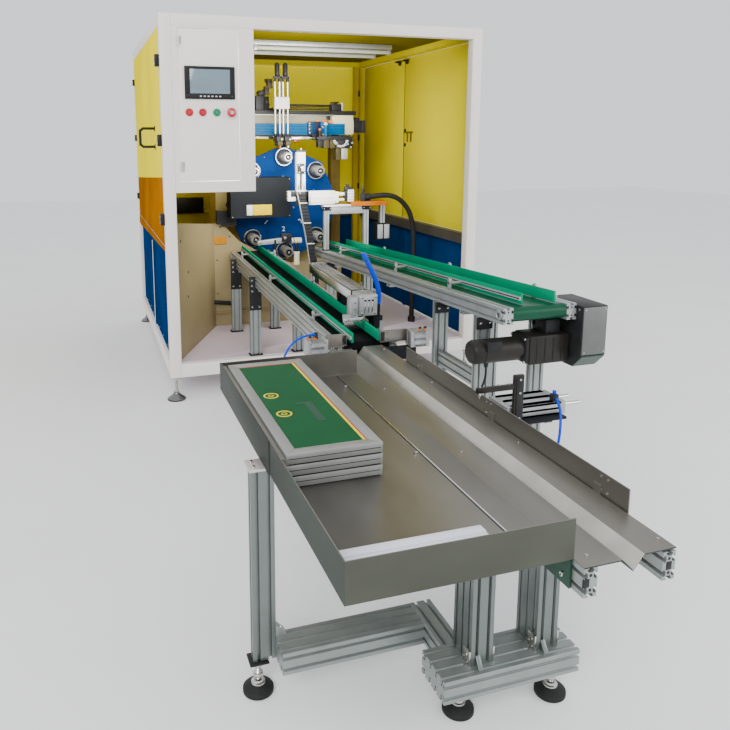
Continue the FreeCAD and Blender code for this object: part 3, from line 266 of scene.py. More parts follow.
BEAM_GREY = finish("beam_side_grey", (0.26, 0.24, 0.17), 0.45, tint=0.2, grain=8, bump=0.06, spec=0.2)
NAVY = finish("navy_bore", (0.006, 0.014, 0.045), 0.4, tint=0.2, grain=20, spec=0.3)
INK_GOLD = finish("gold_ink", (0.58, 0.34, 0.01), 0.4, tint=0.1, grain=80)


# ---------------------------------------------------------------- mesh building

UP, FRONT, LEFT, RIGHT = (0, 0, 1), (0, -1, 0), (-1, 0, 0), (1, 0, 0)
# an edge is drawn sharp from this angle on
SHARP = math.radians(25)
# the heights of the side doors' hinges, and the grid of the slotted bars
HINGES = (960, 1390, 1790)
PITCH = 30


def slot_outline(wide, tall, pitch):
    """The section of a slotted aluminium bar: a rectangle with a T slot in each cell of each side."""
    lip, mouth, wing, shelf, deep = 1.9, 4.1, 7.6, 4.6, 8.6
    sides = [((0, 0), (1, 0), (0, 1), wide), ((wide, 0), (0, 1), (-1, 0), tall),
             ((wide, tall), (-1, 0), (0, -1), wide), ((0, tall), (0, -1), (1, 0), tall)]
    points = []
    for start, way, inward, long in sides:
        cells = max(1, round(long / pitch))
        shape = [(0.8, 0)]
        for cell in range(cells):
            middle = long * (cell + 0.5) / cells
            half = [(mouth, 0), (mouth, lip), (wing, lip), (wing, shelf), (mouth, deep)]
            shape += [(middle - along, down) for along, down in half]
            shape += [(middle + along, down) for along, down in reversed(half)]
        shape.append((long - 0.8, 0))
        points += [(start[0] + way[0] * along + inward[0] * down,
                    start[1] + way[1] * along + inward[1] * down) for along, down in shape]
    return points


class Shape:
    """Collects solids, in millimetres, into one mesh object. Each solid is all of one material."""

    def __init__(self, place=MACHINE, mats=None):
        self.bm = bmesh.new()
        self.place = place
        self.mats = [] if mats is None else mats

    def part(self, place):
        """A shape drawn in another place, to be taken into this one."""
        return Shape(self.place.inverted() @ place, self.mats)

    def add(self, part, mat):
        if mat not in self.mats:
            self.mats.append(mat)
        for face in part.faces:
            face.material_index = self.mats.index(mat)
        mesh = bpy.data.meshes.new("part")
        part.to_mesh(mesh)
        part.free()
        self.bm.from_mesh(mesh)
        bpy.data.meshes.remove(mesh)

    def block(self, low, high, mat, soft=0.8):
        """A box with softened edges."""
        part = bmesh.new()
        bmesh.ops.create_cube(part, size=1)
        low, high = Vector(low), Vector(high)
        for vert in part.verts:
            vert.co = Vector([low[i] if vert.co[i] < 0 else high[i] for i in range(3)])
        if soft:
            bmesh.ops.bevel(part, geom=part.edges[:], offset=soft, segments=2, affect="EDGES", profile=0.5)
        self.add(part, mat)

    def rod(self, start, end, radius, mat, sides=28, soft=0.0):
        """A round bar between two points."""
        start, end = Vector(start), Vector(end)
        part = bmesh.new()
        bmesh.ops.create_cone(part, cap_ends=True, segments=sides, radius1=radius, radius2=radius,
                              depth=(end - start).length)
        if soft:
            rims = [edge for edge in part.edges if abs(edge.verts[0].co.z - edge.verts[1].co.z) < 1e-6]
            bmesh.ops.bevel(part, geom=rims, offset=soft, segments=2, affect="EDGES", profile=0.5)
        turn = (end - start).to_track_quat("Z", "Y").to_matrix().to_4x4()
        bmesh.ops.transform(part, matrix=Matrix.Translation((start + end) / 2) @ turn, verts=part.verts)
        self.add(part, mat)

    def lathe(self, start, way, profile, mat, sides=48):
        """A turned part: (distance along the axis, radius) points, open where a radius is above 0."""
        part = bmesh.new()
        turn = Vector(way).to_track_quat("Z", "Y").to_matrix()
        rings = []
        for along, radius in profile:
            count = sides if radius > 0 else 1
            rings.append([part.verts.new(Vector(start) + turn @ Vector((
                radius * math.cos(math.tau * k / sides), radius * math.sin(math.tau * k / sides), along)))
                for k in range(count)])
        for near, far in zip(rings, rings[1:]):
            for k in range(sides):
                corners = [near[k % len(near)], near[(k + 1) % len(near)], far[(k + 1) % len(far)],
                           far[k % len(far)]]
                corners = list(dict.fromkeys(corners))
                if len(corners) > 2:
                    part.faces.new(corners)
        bmesh.ops.recalc_face_normals(part, faces=part.faces)
        self.add(part, mat)

    def prism(self, outline, axis, low, high, mat, soft=0.0):
        """An outline in the two other axes, in X, Y, Z order, pushed along one axis."""
        part = bmesh.new()
        others = [i for i in range(3) if i != axis]
        loops = []
        for level in (low, high):
            loop = []
            for u, v in outline:
                place = [level] * 3
                place[others[0]], place[others[1]] = u, v
                loop.append(part.verts.new(place))
            loops.append(loop)
        count = len(outline)
        part.faces.new(loops[0])
        part.faces.new(loops[1][::-1])
        for k in range(count):
            part.faces.new([loops[0][k], loops[0][(k + 1) % count], loops[1][(k + 1) % count], loops[1][k]])
        bmesh.ops.recalc_face_normals(part, faces=part.faces)
        if soft:
            bmesh.ops.bevel(part, geom=part.edges[:], offset=soft, segments=2, affect="EDGES", profile=0.5)
        self.add(part, mat)

    def slotted(self, low, high, mat, pitch=PITCH):
        """A slotted aluminium bar filling a box, along its longest side, with its end bores."""
        low, high = Vector(low), Vector(high)
        size = high - low
        axis = max(range(3), key=lambda i: size[i])
        first, second = [i for i in range(3) if i != axis]
        if min(size[first], size[second]) < 24:
            self.block(low, high, mat)
            return
        outline = [(low[first] + u, low[second] + v)
                   for u, v in slot_outline(size[first], size[second], pitch)]
        self.prism(outline, axis, low[axis], high[axis], mat)
        across, up = max(1, round(size[first] / pitch)), max(1, round(size[second] / pitch))
        # each end bore is drawn as a dark disc on the end face: painted shade in the bore
        for i in range(across):
            for j in range(up):
                end = Vector((0, 0, 0))
                end[first] = low[first] + size[first] * (i + 0.5) / across
                end[second] = low[second] + size[second] * (j + 0.5) / up
                for level, out in ((low[axis], -0.15), (high[axis], 0.15)):
                    start, stop = end.copy(), end.copy()
                    start[axis], stop[axis] = level - out, level + out
                    self.rod(start, stop, 3.4, DARK, sides=12)

    def screw(self, place, way, size, mat, dark=DARK):
        """A socket cap screw, its head standing on a surface at place."""
        place, way = Vector(place), Vector(way)
        self.rod(place, place + way * size * 0.8, size * 0.8, mat, sides=16, soft=size * 0.1)
        self.rod(place + way * size * 0.7, place + way * size * 0.82, size * 0.42, dark, sides=6)

    def take(self, other):
        """Adds another shape's solids, drawn in its own place, to this one."""
        other.bm.transform(other.place)
        mesh = bpy.data.meshes.new("part")
        other.bm.to_mesh(mesh)
        other.bm.free()
        self.bm.from_mesh(mesh)
        bpy.data.meshes.remove(mesh)

    def done(self, name, node, stands=True):
        """The finished piece: it rides on a CAD node's body, and stands for it unless told not to."""
        mesh = bpy.data.meshes.new(name)
        self.bm.transform(self.place)
        self.bm.to_mesh(mesh)
        self.bm.free()
        mounted(name, mesh, node, self.mats, stands)


def mounted(name, mesh, node, mats, stands=True):
    """Puts a mesh on the body that a CAD node rides on, with its finish."""
    for mat in mats:
        mesh.materials.append(mat)
    for face in mesh.polygons:
        face.use_smooth = True
    mesh.set_sharp_from_angle(angle=SHARP)
    made = bpy.data.objects.new(name, mesh)
    bpy.context.scene.collection.objects.link(made)
    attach(made, BODY_OF[node])
    if stands:
        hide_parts(node)
    return made


def dress(node, base, zones=(), soft=0.8):
    """A CAD node's own shape with its edges broken, in a base material. Each zone (low, high, material)
    is a box: a face whose middle lies in it takes that zone's material."""
    bm = bmesh.new()
    bm.from_mesh(frame["nodes"][node].data)
    bmesh.ops.remove_doubles(bm, verts=bm.verts, dist=1e-6)
    bmesh.ops.dissolve_limit(bm, angle_limit=math.radians(1), verts=bm.verts, edges=bm.edges)
    back = MACHINE.inverted()
    mats = list(dict.fromkeys([base, *[mat for _, _, mat in zones]]))
    for face in bm.faces:
        middle = back @ face.calc_center_median()
        for low, high, mat in zones:
            if all(low[i] <= middle[i] <= high[i] for i in range(3)):
                face.material_index = mats.index(mat)
                break
    mesh = bpy.data.meshes.new(node)
    bm.to_mesh(mesh)
    bm.free()
    made = mounted(f"{node}_finished", mesh, node, mats)
    if soft:
        edge = made.modifiers.new("broken_edges", "BEVEL")
        edge.width = soft / 1000
        edge.segments = 2
        edge.limit_method = "ANGLE"
        edge.angle_limit = math.radians(40)
        edge.harden_normals = True


def conveyor_place(drive, tail):
    """The frame of a conveyor, from its end rollers: millimetres, at the belt top's front end."""
    first, last = [(sum(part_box(node), Vector()) / 2) for node in (drive, tail)]
    radius = (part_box(drive)[1].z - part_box(drive)[0].z) / 2
    tilt = math.atan2(last.z - first.z, last.y - first.y)
    turn = Matrix.Rotation(tilt, 4, "X")
    corner = first - turn @ Vector((0, radius, -radius - 0.003))
    long = (last - first).length * 1000 + 2 * radius * 1000
    return Matrix.Translation(corner) @ turn @ Matrix.Scale(0.001, 4), long


# ---------------------------------------------------------------- cords

def cord(node, points, radius, mat, **facts):
    """A free cord on its CAD route: control points in millimetres from the cabinet's corner."""
    curve = bpy.data.curves.new(node, "CURVE")
    curve.dimensions = "3D"
    spline = curve.splines.new("NURBS")
    spline.points.add(len(points) - 1)
    for point, place in zip(spline.points, points):
        point.co = (*row(*place), 1)
    spline.order_u = 3
    spline.use_endpoint_u = True
    spline.resolution_u = 16
    curve.bevel_depth = radius / 1000
    curve.bevel_resolution = 6
    curve.use_fill_caps = True
    curve.materials.append(mat)
    made = bpy.data.objects.new(f"{node}_line", curve)
    bpy.context.scene.collection.objects.link(made)
    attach(made, BODY_OF[node])
    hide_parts(node)


CONDUIT = [
    (1310, 405, 1050), (1405, 409, 1064), (1505, 418, 1040), (1585, 430, 965), (1625, 445, 860),
    (1640, 458, 745), (1644, 467, 620), (1641, 471, 490), (1640, 470, 362), (1640, 470.5, 240)]
MOTOR_CABLE = [
    (975, -1585, 585), (978, -1584, 555), (971, -1581, 520), (955, -1576, 485), (936, -1568, 449),
    (921, -1553, 413), (918, -1530, 379), (930, -1504, 354), (953, -1487, 353), (972, -1478, 377),
    (976, -1475, 414)]
GATE_HOSE = [
    (378, -1362, 698), (345, -1364, 697), (308, -1370, 683), (276, -1382, 657), (253, -1400, 623),
    (243, -1422, 584), (250, -1446, 547), (272, -1466, 520), (306, -1478, 509), (343, -1484, 517),
    (378, -1488, 540), (407, -1490, 568), (432, -1490, 589)]
HOSE_BUNDLE = [
    (778, -1000, 664), (788, -1000, 704), (791, -1001, 748), (781, -1003, 795), (761, -1004, 843),
    (737, -1002, 890), (715, -998, 932)]
EJECTOR_HOSE = [
    (905, -2100, 651), (898, -2129, 638), (887, -2151, 608), (878, -2163, 572), (868, -2169, 532),
    (852, -2169, 493), (826, -2164, 462), (792, -2157, 446), (754, -2150, 450), (720, -2144, 471),
    (696, -2140, 504), (680, -2138, 536), (677, -2138, 563)]


def cords():
    """The five free cords, each with its material length in metres."""
    cord("cable_conduit", CONDUIT, 16, RUBBER, length=1.04, far_end="object", stiffness="stiff",
         lay="hanging")
    cord("motor_cable", MOTOR_CABLE, 4, RUBBER, length=0.36, far_end="object", stiffness="limp",
         lay="hanging")
    cord("gate_hose", GATE_HOSE, 4, TUBE_BLUE, length=0.478, far_end="object", stiffness="medium",
         lay="hanging")
    cord("hose_bundle", HOSE_BUNDLE, 11, TUBE_BLUE, length=0.285, far_end="bare", stiffness="stiff",
         lay="loose")
    cord("ejector_hose", EJECTOR_HOSE, 4, TUBE_BLUE, length=0.452, far_end="object", stiffness="medium",
         lay="hanging")


camera()
studio()
cords()


# ---------------------------------------------------------------- cabinet

def cabinet():
    """The white frame of square tube, its panes and panels, and what is screwed to them."""
    low, high = span("cabinet_posts")
    under, top, floor = low.z, high.z, span("machine_bed")[0].z
    mid = span("back_panel")[0].z - TUBE
    posts = Shape()
    for x in (0, INNER_X):
        for y in (0, INNER_Y):
            posts.block((x, y, under), (x + TUBE, y + TUBE, top), WHITE, soft=3)
            posts.block((x + 3, y + 3, under - 2), (x + TUBE - 3, y + TUBE - 3, under), BLACK, soft=0.8)
    # a folded liner stands in front of the rear right post
    liner, under_rail = 55, top - TUBE
    for near_x, near_y, far_x, far_y in ((INNER_X - liner, INNER_Y - 14, INNER_X, INNER_Y - 1),
                                         (INNER_X - liner, INNER_Y - 40, INNER_X - 52, INNER_Y - 14),
                                         (INNER_X - 6, INNER_Y - 50, INNER_X, INNER_Y - 14)):
        posts.block((near_x, near_y, floor), (far_x, far_y, under_rail), CREAM_POST)
    posts.block((INNER_X - 1, INNER_Y - 1.5, floor), (WIDE - 12, INNER_Y + 0.5, under_rail), YELLOW, soft=0)
    posts.done("posts_coated", "cabinet_posts")

    rails = Shape()
    for level, tall in ((top - TUBE, TUBE), (mid, TUBE), (under, floor - under - 3)):
        for x in (0, INNER_X):
            rails.block((x, TUBE, level), (x + TUBE, INNER_Y, level + tall), WHITE, soft=3)
        rails.block((TUBE, INNER_Y, level), (INNER_X, DEEP, level + tall), WHITE, soft=3)
        if level != mid:
            rails.block((TUBE, 0, level), (INNER_X, TUBE, level + tall), WHITE, soft=3)
    # coloured liners over the inner faces of the right and rear rails
    lap = 1.5
    for low_z, high_z, edge, mat in ((top - TUBE, top - 20, top - TUBE, YELLOW),
                                     (mid, mid + TUBE, mid + TUBE, RAIL_GREY)):
        rails.block((INNER_X - lap, TUBE, low_z), (INNER_X + 1, INNER_Y, high_z), mat, soft=0)
        rails.block((TUBE, INNER_Y - lap, low_z), (INNER_X, INNER_Y + 1, high_z), mat, soft=0)
        rails.block((INNER_X - lap, TUBE, edge - lap), (WIDE - 12, INNER_Y, edge + lap), mat, soft=0)
    # a yellow skirt and a dark cable duct at the rear rail, left of the carousel
    rails.block((TUBE, INNER_Y - 5, mid - 100), (600, INNER_Y - lap, mid + TUBE), YELLOW, soft=0)
    rails.block((TUBE, INNER_Y - 44, mid + TUBE + 1), (480, INNER_Y - lap, mid + TUBE + 120), MOTOR, soft=2)
    # the left middle rail carries the door's amber and the panel's blue on its outer face
    slope = ((TUBE, mid + 38), (INNER_Y, mid))
    for outline, mat in (([(TUBE, mid + TUBE), *slope, (INNER_Y, mid + TUBE)], AMBER_LOW),
                         ([*slope, (TUBE, mid)], BLUE)):
        rails.prism(outline, 0, -lap, 1, mat, soft=0)
    rails.done("rails_coated", "cabinet_rails")

    panels()
    roof()
    latches()
    side_doors()


def panels():
    """The back pane with its screws, and the blue lower panels with their rivets."""
    low, high = span("back_panel")
    # the back pane takes the brightened yellow: painted light shining through the acrylic
    dress("back_panel", YELLOW_BACKLIT, soft=1)
    screws = Shape()
    for x in range(200, 1700, 300):
        for z in (low.z + 25, high.z - 25):
            screws.screw((x, low.y, z), FRONT, 5, STEEL)
    screws.done("pane_screws", "back_panel", stands=False)

    low, high = span("lower_panels")
    middle = (low.y + high.y) / 2
    dress("lower_panels", BLUE, [
        ((low.x - 1, middle - 25, 0), (low.x + 1, middle + 25, 900), PALE),
        ((high.x - 1, middle - 25, 0), (high.x + 1, middle + 25, 900), PALE)])
    rivets = Shape()
    for y in range(120, 1800, 210):
        for z in (low.z + 22, high.z - 22):
            for x, way in ((low.x + 10, -1), (high.x - 10, 1)):
                rivets.rod((x, y, z), (x + way * 2, y, z), 4.5, STEEL, sides=12, soft=0.8)
    rivets.done("panel_rivets", "lower_panels", stands=False)


def roof():
    """The roof and floor sheets, and two tube lamps under the roof."""
    low, high = span("roof_and_floor")
    dress("roof_and_floor", ROOF, [
        ((low.x, low.y - 20, low.z - 1), (high.x, high.y + 20, low.z + 4), FLOOR_SHEET),
        ((1600, 430, low.z + 4), (1680, 510, 300), BLACK)], soft=0)
    lamps = Shape()
    for y in (700, 960):
        lamps.block((640, y - 22, 1978), (1560, y + 22, 2008), CAST, soft=3)
        lamps.rod((655, y, 1962), (1545, y, 1962), 13, LAMP_TUBE, soft=3)
        for x in (645, 1535):
            lamps.block((x, y - 17, 1946), (x + 20, y + 17, 1980), CAST, soft=2)
    lamps.done("roof_lamps", "roof_and_floor", stands=False)


def latches():
    """Door latches on the posts, and the small brackets inside the right doors."""
    bits = Shape()
    for z in (990, 1400, 1800):
        bits.block((-22, 18, z - 30), (0.5, 62, z + 30), BLACK, soft=4)
        bits.block((-14, 60, z - 12), (-6, 72, z + 12), BLACK, soft=1.5)
        for lift in (-14, 14):
            bits.rod((-23, 40, z + lift), (-21, 40, z + lift), 5, STEEL, sides=16)
    for y in (960, 1085):
        bits.block((WIDE - 54, y, 1940), (WIDE - 18, y + 40, 1952), BLACK, soft=2)
        bits.block((WIDE - 34, y + 12, 1922), (WIDE - 18, y + 28, 1944), BLACK, soft=2)
    for z in (1000, 1390, 1740):
        bits.block((WIDE - 72, INNER_Y - 46, z), (INNER_X, INNER_Y - 14, z + 48), BLACK, soft=3)
    bits.done("door_latches", "cabinet_posts", stands=False)


def handle(shape, face, way, y):
    """A rounded bow handle with its two feet, standing out sideways from a door's face."""
    low, high = 1357, 1472
    out, edge = face + way * 82, 12
    shape.rod((out, y, low + edge), (out, y, high - edge), 7.5, BLACK, soft=2)
    for z, turn in ((low + 7, 1), (high - 7, -1)):
        shape.rod((face, y, z), (out - way * 12, y, z), 7.5, BLACK, soft=1)
        shape.rod((out - way * 15, y, z), (out, y, z + turn * 14), 7.5, BLACK, soft=2)
        near, far = sorted((face - way, face + way * 4))
        shape.block((near, y - 15, z - 15), (far, y + 15, z + 15), BLACK, soft=1.5)


def side_doors():
    """Acrylic leaves with black hinges, and bow handles of bent rod."""
    for node in ("right_door_front", "right_door_back"):
        pane_low, pane_high = span(node)
        leaf = Shape()
        leaf.block((WIDE - 10, pane_low.y, pane_low.z), (WIDE - 2, pane_high.y, pane_high.z), YELLOW,
                   soft=1)
        hinge_y = TUBE + 1 if node == "right_door_front" else INNER_Y - 1
        inward = 1 if node == "right_door_front" else -1
        hinge_set(leaf, WIDE + 7, hinge_y, WIDE - 2, inward)
        if node == "right_door_front":
            handle(leaf, WIDE - 2, 1, pane_high.y - 26)
            # an edge strip covers the split, and the handle's nuts stand inside the pane
            leaf.block((WIDE - 12, pane_high.y - 7, pane_low.z), (WIDE - 9.5, pane_high.y, pane_high.z),
                       BROWN, soft=0)
            for z in (1364, 1465):
                leaf.rod((WIDE - 16, pane_high.y - 26, z), (WIDE - 9, pane_high.y - 26, z), 12, BLACK,
                         soft=1)
            for y in (917, 974):
                leaf.block((WIDE - 18, y - 6, 1386), (WIDE - 9, y + 6, 1450), BROWN, soft=1)
            leaf.block((WIDE - 18, 890, 1446), (WIDE - 9, pane_high.y - 8, 1458), BROWN, soft=1)
        leaf.done(f"{node}_leaf", node)
    low, high = span("left_door")
    split_near, split_far, gap = 1207, 1121, 1
    back = INNER_Y - 2
    leaf = Shape()
    leaf.prism([(low.y, low.z), (back, low.z), (back, split_far), (low.y, split_near)], 0, 2, 10, AMBER_LOW,
               soft=1)
    leaf.prism([(low.y, split_near + gap), (back, split_far + gap), (back, high.z), (low.y, high.z)], 0, 2,
               10, AMBER, soft=1)
    hinge_set(leaf, -7, INNER_Y - 1, 2, -1)
    handle(leaf, 2, -1, 397)
    leaf.done("left_door_leaf", "left_door")


def hinge_set(shape, x, y, face, inward):
    """Butt hinges: a knuckle on the hinge's axis, split in three, and a screwed leaf on the pane."""
    out = -1 if x < face else 1
    for z in HINGES:
        for start, long in ((0, 13.5), (14.5, 15), (30.5, 13.5)):
            shape.rod((x, y, z + start), (x, y, z + start + long), 6, BLACK, soft=1)
        near, far = sorted((y, y + inward * 34))
        shape.block((min(face, face + out * 5), near, z), (max(face, face + out * 5), far, z + 44), BLACK,
                    soft=1)
        for lift in (10, 34):
            shape.screw((face + out * 5, y + inward * 22, z + lift), (out, 0, 0), 4, BLACK, STEEL)


def feet():
    """Chrome bells on rubber under the cabinet, black rubber cones under the table."""
    shape = Shape()
    for low, high in solids("levelling_feet"):
        if high.z - low.z < 60:
            continue
        x, y = (low.x + high.x) / 2, (low.y + high.y) / 2
        cabinet = y > 0
        if cabinet:
            shape.lathe((x, y, 0), UP, [(0, 0), (0, 49), (5, 50), (6, 48)], RUBBER)
            shape.lathe((x, y, 5), UP, [(0, 48), (4, 48), (12, 38), (20, 25), (30, 17), (34, 15), (40, 14),
                                        (41, 0)], CHROME_DARK)
        else:
            shape.lathe((x, y, 0), UP, [(0, 0), (0, 37), (3, 40), (12, 40), (15, 37), (24, 20), (27, 18)],
                        RUBBER)
            shape.lathe((x, y, 23), UP, [(0, 19), (6, 18), (8, 14), (12, 13), (12, 0)], ZINC)
        turns = []
        for k in range(int((high.z - 40) / 2)):
            turns += [(k * 2, 8), (k * 2 + 1, 7.1)]
        shape.lathe((x, y, 38), UP, [(0, 0)] + turns + [(high.z - 38, 7.1), (high.z - 38, 0)], ZINC,
                    sides=20)
        shape.rod((x, y, high.z - 19), (x, y, high.z - 6), 15, ZINC, sides=6, soft=1)
        shape.rod((x, y, 44), (x, y, 54), 14, ZINC, sides=6, soft=1)
    shape.done("levelling_feet_turned", "levelling_feet")


def control_box():
    """The control box, its door with the touch panel, and the four buttons."""
    dress("control_box", WHITE, soft=2)
    dress("screen_door", SCREEN_WHITE, [
        ((118, -10, 1608), (383, -0.5, 1776), BLACK),
        ((88, -12, 1230), (112, -0.3, 1930), ZINC), ((120, -6, 1520), (380, -0.5, 1566), ZINC)], soft=1.2)
    panel = Shape()
    low, high = (121, -9, 1610), (380, -9, 1774)
    for a, b in (((low[0], low[2]), (high[0], low[2] + 31)), ((low[0], high[2] - 17), (high[0], high[2])),
                 ((low[0], low[2] + 20), (low[0] + 29, high[2] - 10)),
                 ((high[0] - 29, low[2] + 20), (high[0], high[2] - 10))):
        panel.block((a[0] + 3, -12.5, a[1] + 3), (b[0] - 3, -8.5, b[1] - 3), BLACK, soft=2)
    panel.block((147, -10, 1638), (354, -8.8, 1760), SCREEN, soft=0.4)
    for k in range(6):
        panel.block((196 + k * 20, -13, 1621), (206 + k * 20, -12, 1627), PALE, soft=0.4)
    panel.rod((364, -13.2, 1624), (364, -12, 1624), 2.2, BUTTON_GREEN, sides=12)
    button_z, stop_x = 1543, 357
    for name, x, colour in (("stop_button", 141, RED), ("reset_button", 210, RED),
                            ("start_button", 283, BUTTON_GREEN)):
        panel.lathe((x, 0, button_z), FRONT, [(4, 20), (6, 20), (8, 18), (9.5, 15), (8, 11.6), (5, 11.2)],
                    colour)
        cap = Shape()
        cap.lathe((x, 16, button_z), FRONT, [(0, 0), (0, 10.9), (27, 10.9), (29.5, 9.5), (30, 7), (29, 0)],
                  colour)
        cap.done(f"{name}_cap", name)
    panel.lathe((stop_x, 0, button_z), FRONT, [(4, 20), (7, 20), (9, 17), (9, 11.5), (5, 11.2)], ZINC)
    panel.done("touch_panel", "screen_door", stands=False)
    stop = Shape()
    for profile, mat in (
            ([(0, 0), (0, 10.8), (36, 10.8), (37, 21), (39, 24), (46, 24), (51, 20), (54, 11)], RED),
            ([(54, 11), (52.8, 10)], PALE), ([(52.8, 10), (52.5, 7)], RED), ([(52.5, 7), (52.4, 0)], PALE)):
        stop.lathe((stop_x, 16, button_z), FRONT, profile, mat)
    stop.done("emergency_mushroom", "emergency_stop")


def bed():
    """What is fixed to the bed's slanted wall and front wall."""
    dress("machine_bed", TAN, soft=1.2)
    bits = Shape()
    # the slanted wall runs from the cabinet's front post to the front wall's corner
    near, far = Vector((64, 60, 0)), Vector((375, 745, 0))
    along = (far - near).normalized()
    out = Vector((along.y, -along.x, 0))
    # the dark discs below stand for bolt holes in the slanted wall: painted shade in the holes
    for way, z in ((185, 668), (170, 529), (560, 800), (640, 840), (60, 860), (600, 430)):
        at = near + along * way + Vector((0, 0, z))
        bits.rod(at - out * 2, at + out * 1.2, 9, DARK, sides=20, soft=0.5)
    at = near + along * 370 + Vector((0, 0, 577))
    bits.rod(at - out * 2, at + out * 0.8, 5, DARK, sides=16)
    bits.block((371, 739, 742), (458, 745.4, 792), LABEL_ORANGE, soft=0.6)
    for x, z in ((378, 786), (451, 786), (378, 748), (451, 748)):
        bits.rod((x, 739.6, z), (x, 738, z), 2.6, ZINC, sides=12)
    for x, z in ((420, 850), (480, 790), (395, 640), (520, 640), (395, 420), (700, 560), (1180, 560)):
        bits.screw((x, 745, z), FRONT, 6, DARK)
    # a capped hose end, lying on a clip in front of the bed wall
    bits.lathe((352, 728, 372), (1, -0.05, -0.12), [(0, 0), (0, 11), (2, 15), (20, 16), (24, 13), (130, 13),
                                                    (130, 0)], DARK)
    bits.block((376, 720, 296), (1225, 746, 304), TAN, soft=1.5)
    bits.done("bed_fittings", "machine_bed", stands=False)


def text_piece(name, words, place, height, mat, node, turn=None):
    """Raised lettering, for plain station numbers only."""
    curve = bpy.data.curves.new(name, "FONT")
    curve.body = words
    curve.size = height / 1000
    curve.extrude = 0.0004
    curve.align_x = "CENTER"
    curve.align_y = "CENTER"
    curve.materials.append(mat)
    made = bpy.data.objects.new(name, curve)
    made.matrix_world = Matrix.Translation(row(*place)) @ (turn or Matrix()) @ Matrix.Rotation(
        math.pi / 2, 4, "X")
    bpy.context.scene.collection.objects.link(made)
    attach(made, BODY_OF[node])


def carousel():
    """The eight-station disc with its rings, mandrels and numbers, and what carries it."""
    low, high = span("carousel_disc")
    centre = (low + high) / 2
    front = low.y
    dress("carousel_disc", DISC, soft=1.5)
    dress("carousel_shaft", STEEL, soft=1.5)
    rings = Shape()
    bolts = Shape()
    # circles on the disc: stations, their numbers, bolts at the rim and the hub, and bolts on each ring
    stations, numbers, rim, hub, ring = 310, 170, 330, 75, 55.6
    for k in range(8):
        angle = math.radians(45 * k)
        x, z = centre.x + stations * math.cos(angle), centre.z + stations * math.sin(angle)
        seat = (x, front, z)
        for profile, mat in (
                ([(-36, 34.9), (-36, 16), (8, 16), (8, 50), (9, 51), (29, 52.5)], NAVY),
                ([(0, 34.9), (0, 58), (2, 60), (25, 60), (28, 59.5), (30, 57.5), (30, 53.5), (29, 52.5)],
                 STEEL),
                ([(-30, 34.9), (0, 34.9)], NAVY)):
            rings.lathe(seat, FRONT, profile, mat)
        for turn in range(6):
            around = angle + math.radians(30 + 60 * turn)
            at = Vector((x + ring * math.cos(around), front - 29.8, z + ring * math.sin(around)))
            bolts.screw(at, FRONT, 3.2, ZINC)
        mandrel = Shape()
        for profile, mat in (
                ([(10, 15), (10, 31.5), (11.5, 33), (40, 33), (41.2, 31.8), (43.8, 31.8), (45, 33),
                  (104, 33), (105, 32), (107, 32), (108, 33), (125, 33), (133, 26), (135, 24)],
                 CHROME_WHITE),
                ([(135, 24), (135, 19.5), (126, 18.5)], STEEL), ([(126, 18.5), (124, 9), (124, 0)], DARK),
                ([(10, 15), (-37, 15), (-37, 23), (-46, 23), (-46, 0)], ZINC)):
            mandrel.lathe(seat, FRONT, profile, mat)
        mandrel.rod((x, front - 123, z), (x, front - 131, z), 8, ZINC, sides=6, soft=0.8)
        mandrel.done(f"mandrel_{k + 1}_turned", f"mandrel_{k + 1}")
        spot = (centre.x + numbers * math.cos(angle), front - 0.3, centre.z + numbers * math.sin(angle))
        text_piece(f"station_number_{k + 1}", str((k - 5) % 8 + 1), spot, 46, CHALK, "carousel_disc",
                   Matrix.Rotation(math.radians(270 - 45 * k), 4, "Y"))
        for spread in (-1, 1):
            around = angle + spread * math.radians(22.5)
            at = Vector((centre.x + rim * math.cos(around), front, centre.z + rim * math.sin(around)))
            bolts.screw(at, FRONT, 6, ZINC)
    for turn in range(8):
        around = math.radians(22.5 + 45 * turn)
        at = Vector((centre.x + hub * math.cos(around), front, centre.z + hub * math.sin(around)))
        bolts.screw(at, FRONT, 8, ZINC)
    bolts.lathe((centre.x, front, centre.z), FRONT, [(0, 48), (5, 48), (7, 46), (7, 30), (3, 28), (3, 0)],
                ZINC)
    rings.done("station_rings_turned", "station_rings")
    bolts.done("carousel_bolts", "carousel_disc", stands=False)

    dress("guard_box", GREY, [((380, 714, 850), (530, 770, 970), DARK)], soft=2)
    plate = Shape()
    plate.block((561, 588.6, 938), (597, 590.4, 1002), PALE, soft=0.5)
    plate.block((598, 588.6, 938), (721, 590.4, 1002), LABEL, soft=0.5)
    plate.rod((622, 588.8, 970), (622, 588.1, 970), 17, INK_GOLD, sides=32)
    plate.rod((622, 588.3, 970), (622, 587.8, 970), 13, LABEL, sides=32)
    for x, z in ((470, 930), (470, 1160), (835, 930), (835, 1160)):
        plate.screw((x, 590, z), FRONT, 5, DARK, dark=PALE)
    plate.done("guard_box_plate", "guard_box", stands=False)
    dress("drive_pedestal", CREAM, [
        ((780, 1399, 890), (960, 1640, 1070), DARK), ((770, 900, 880), (966, 979, 1080), STEEL),
        ((1261, 1060, 200), (1340, 1200, 1610), BROWN)], soft=2)


# ---------------------------------------------------------------- print head and loader

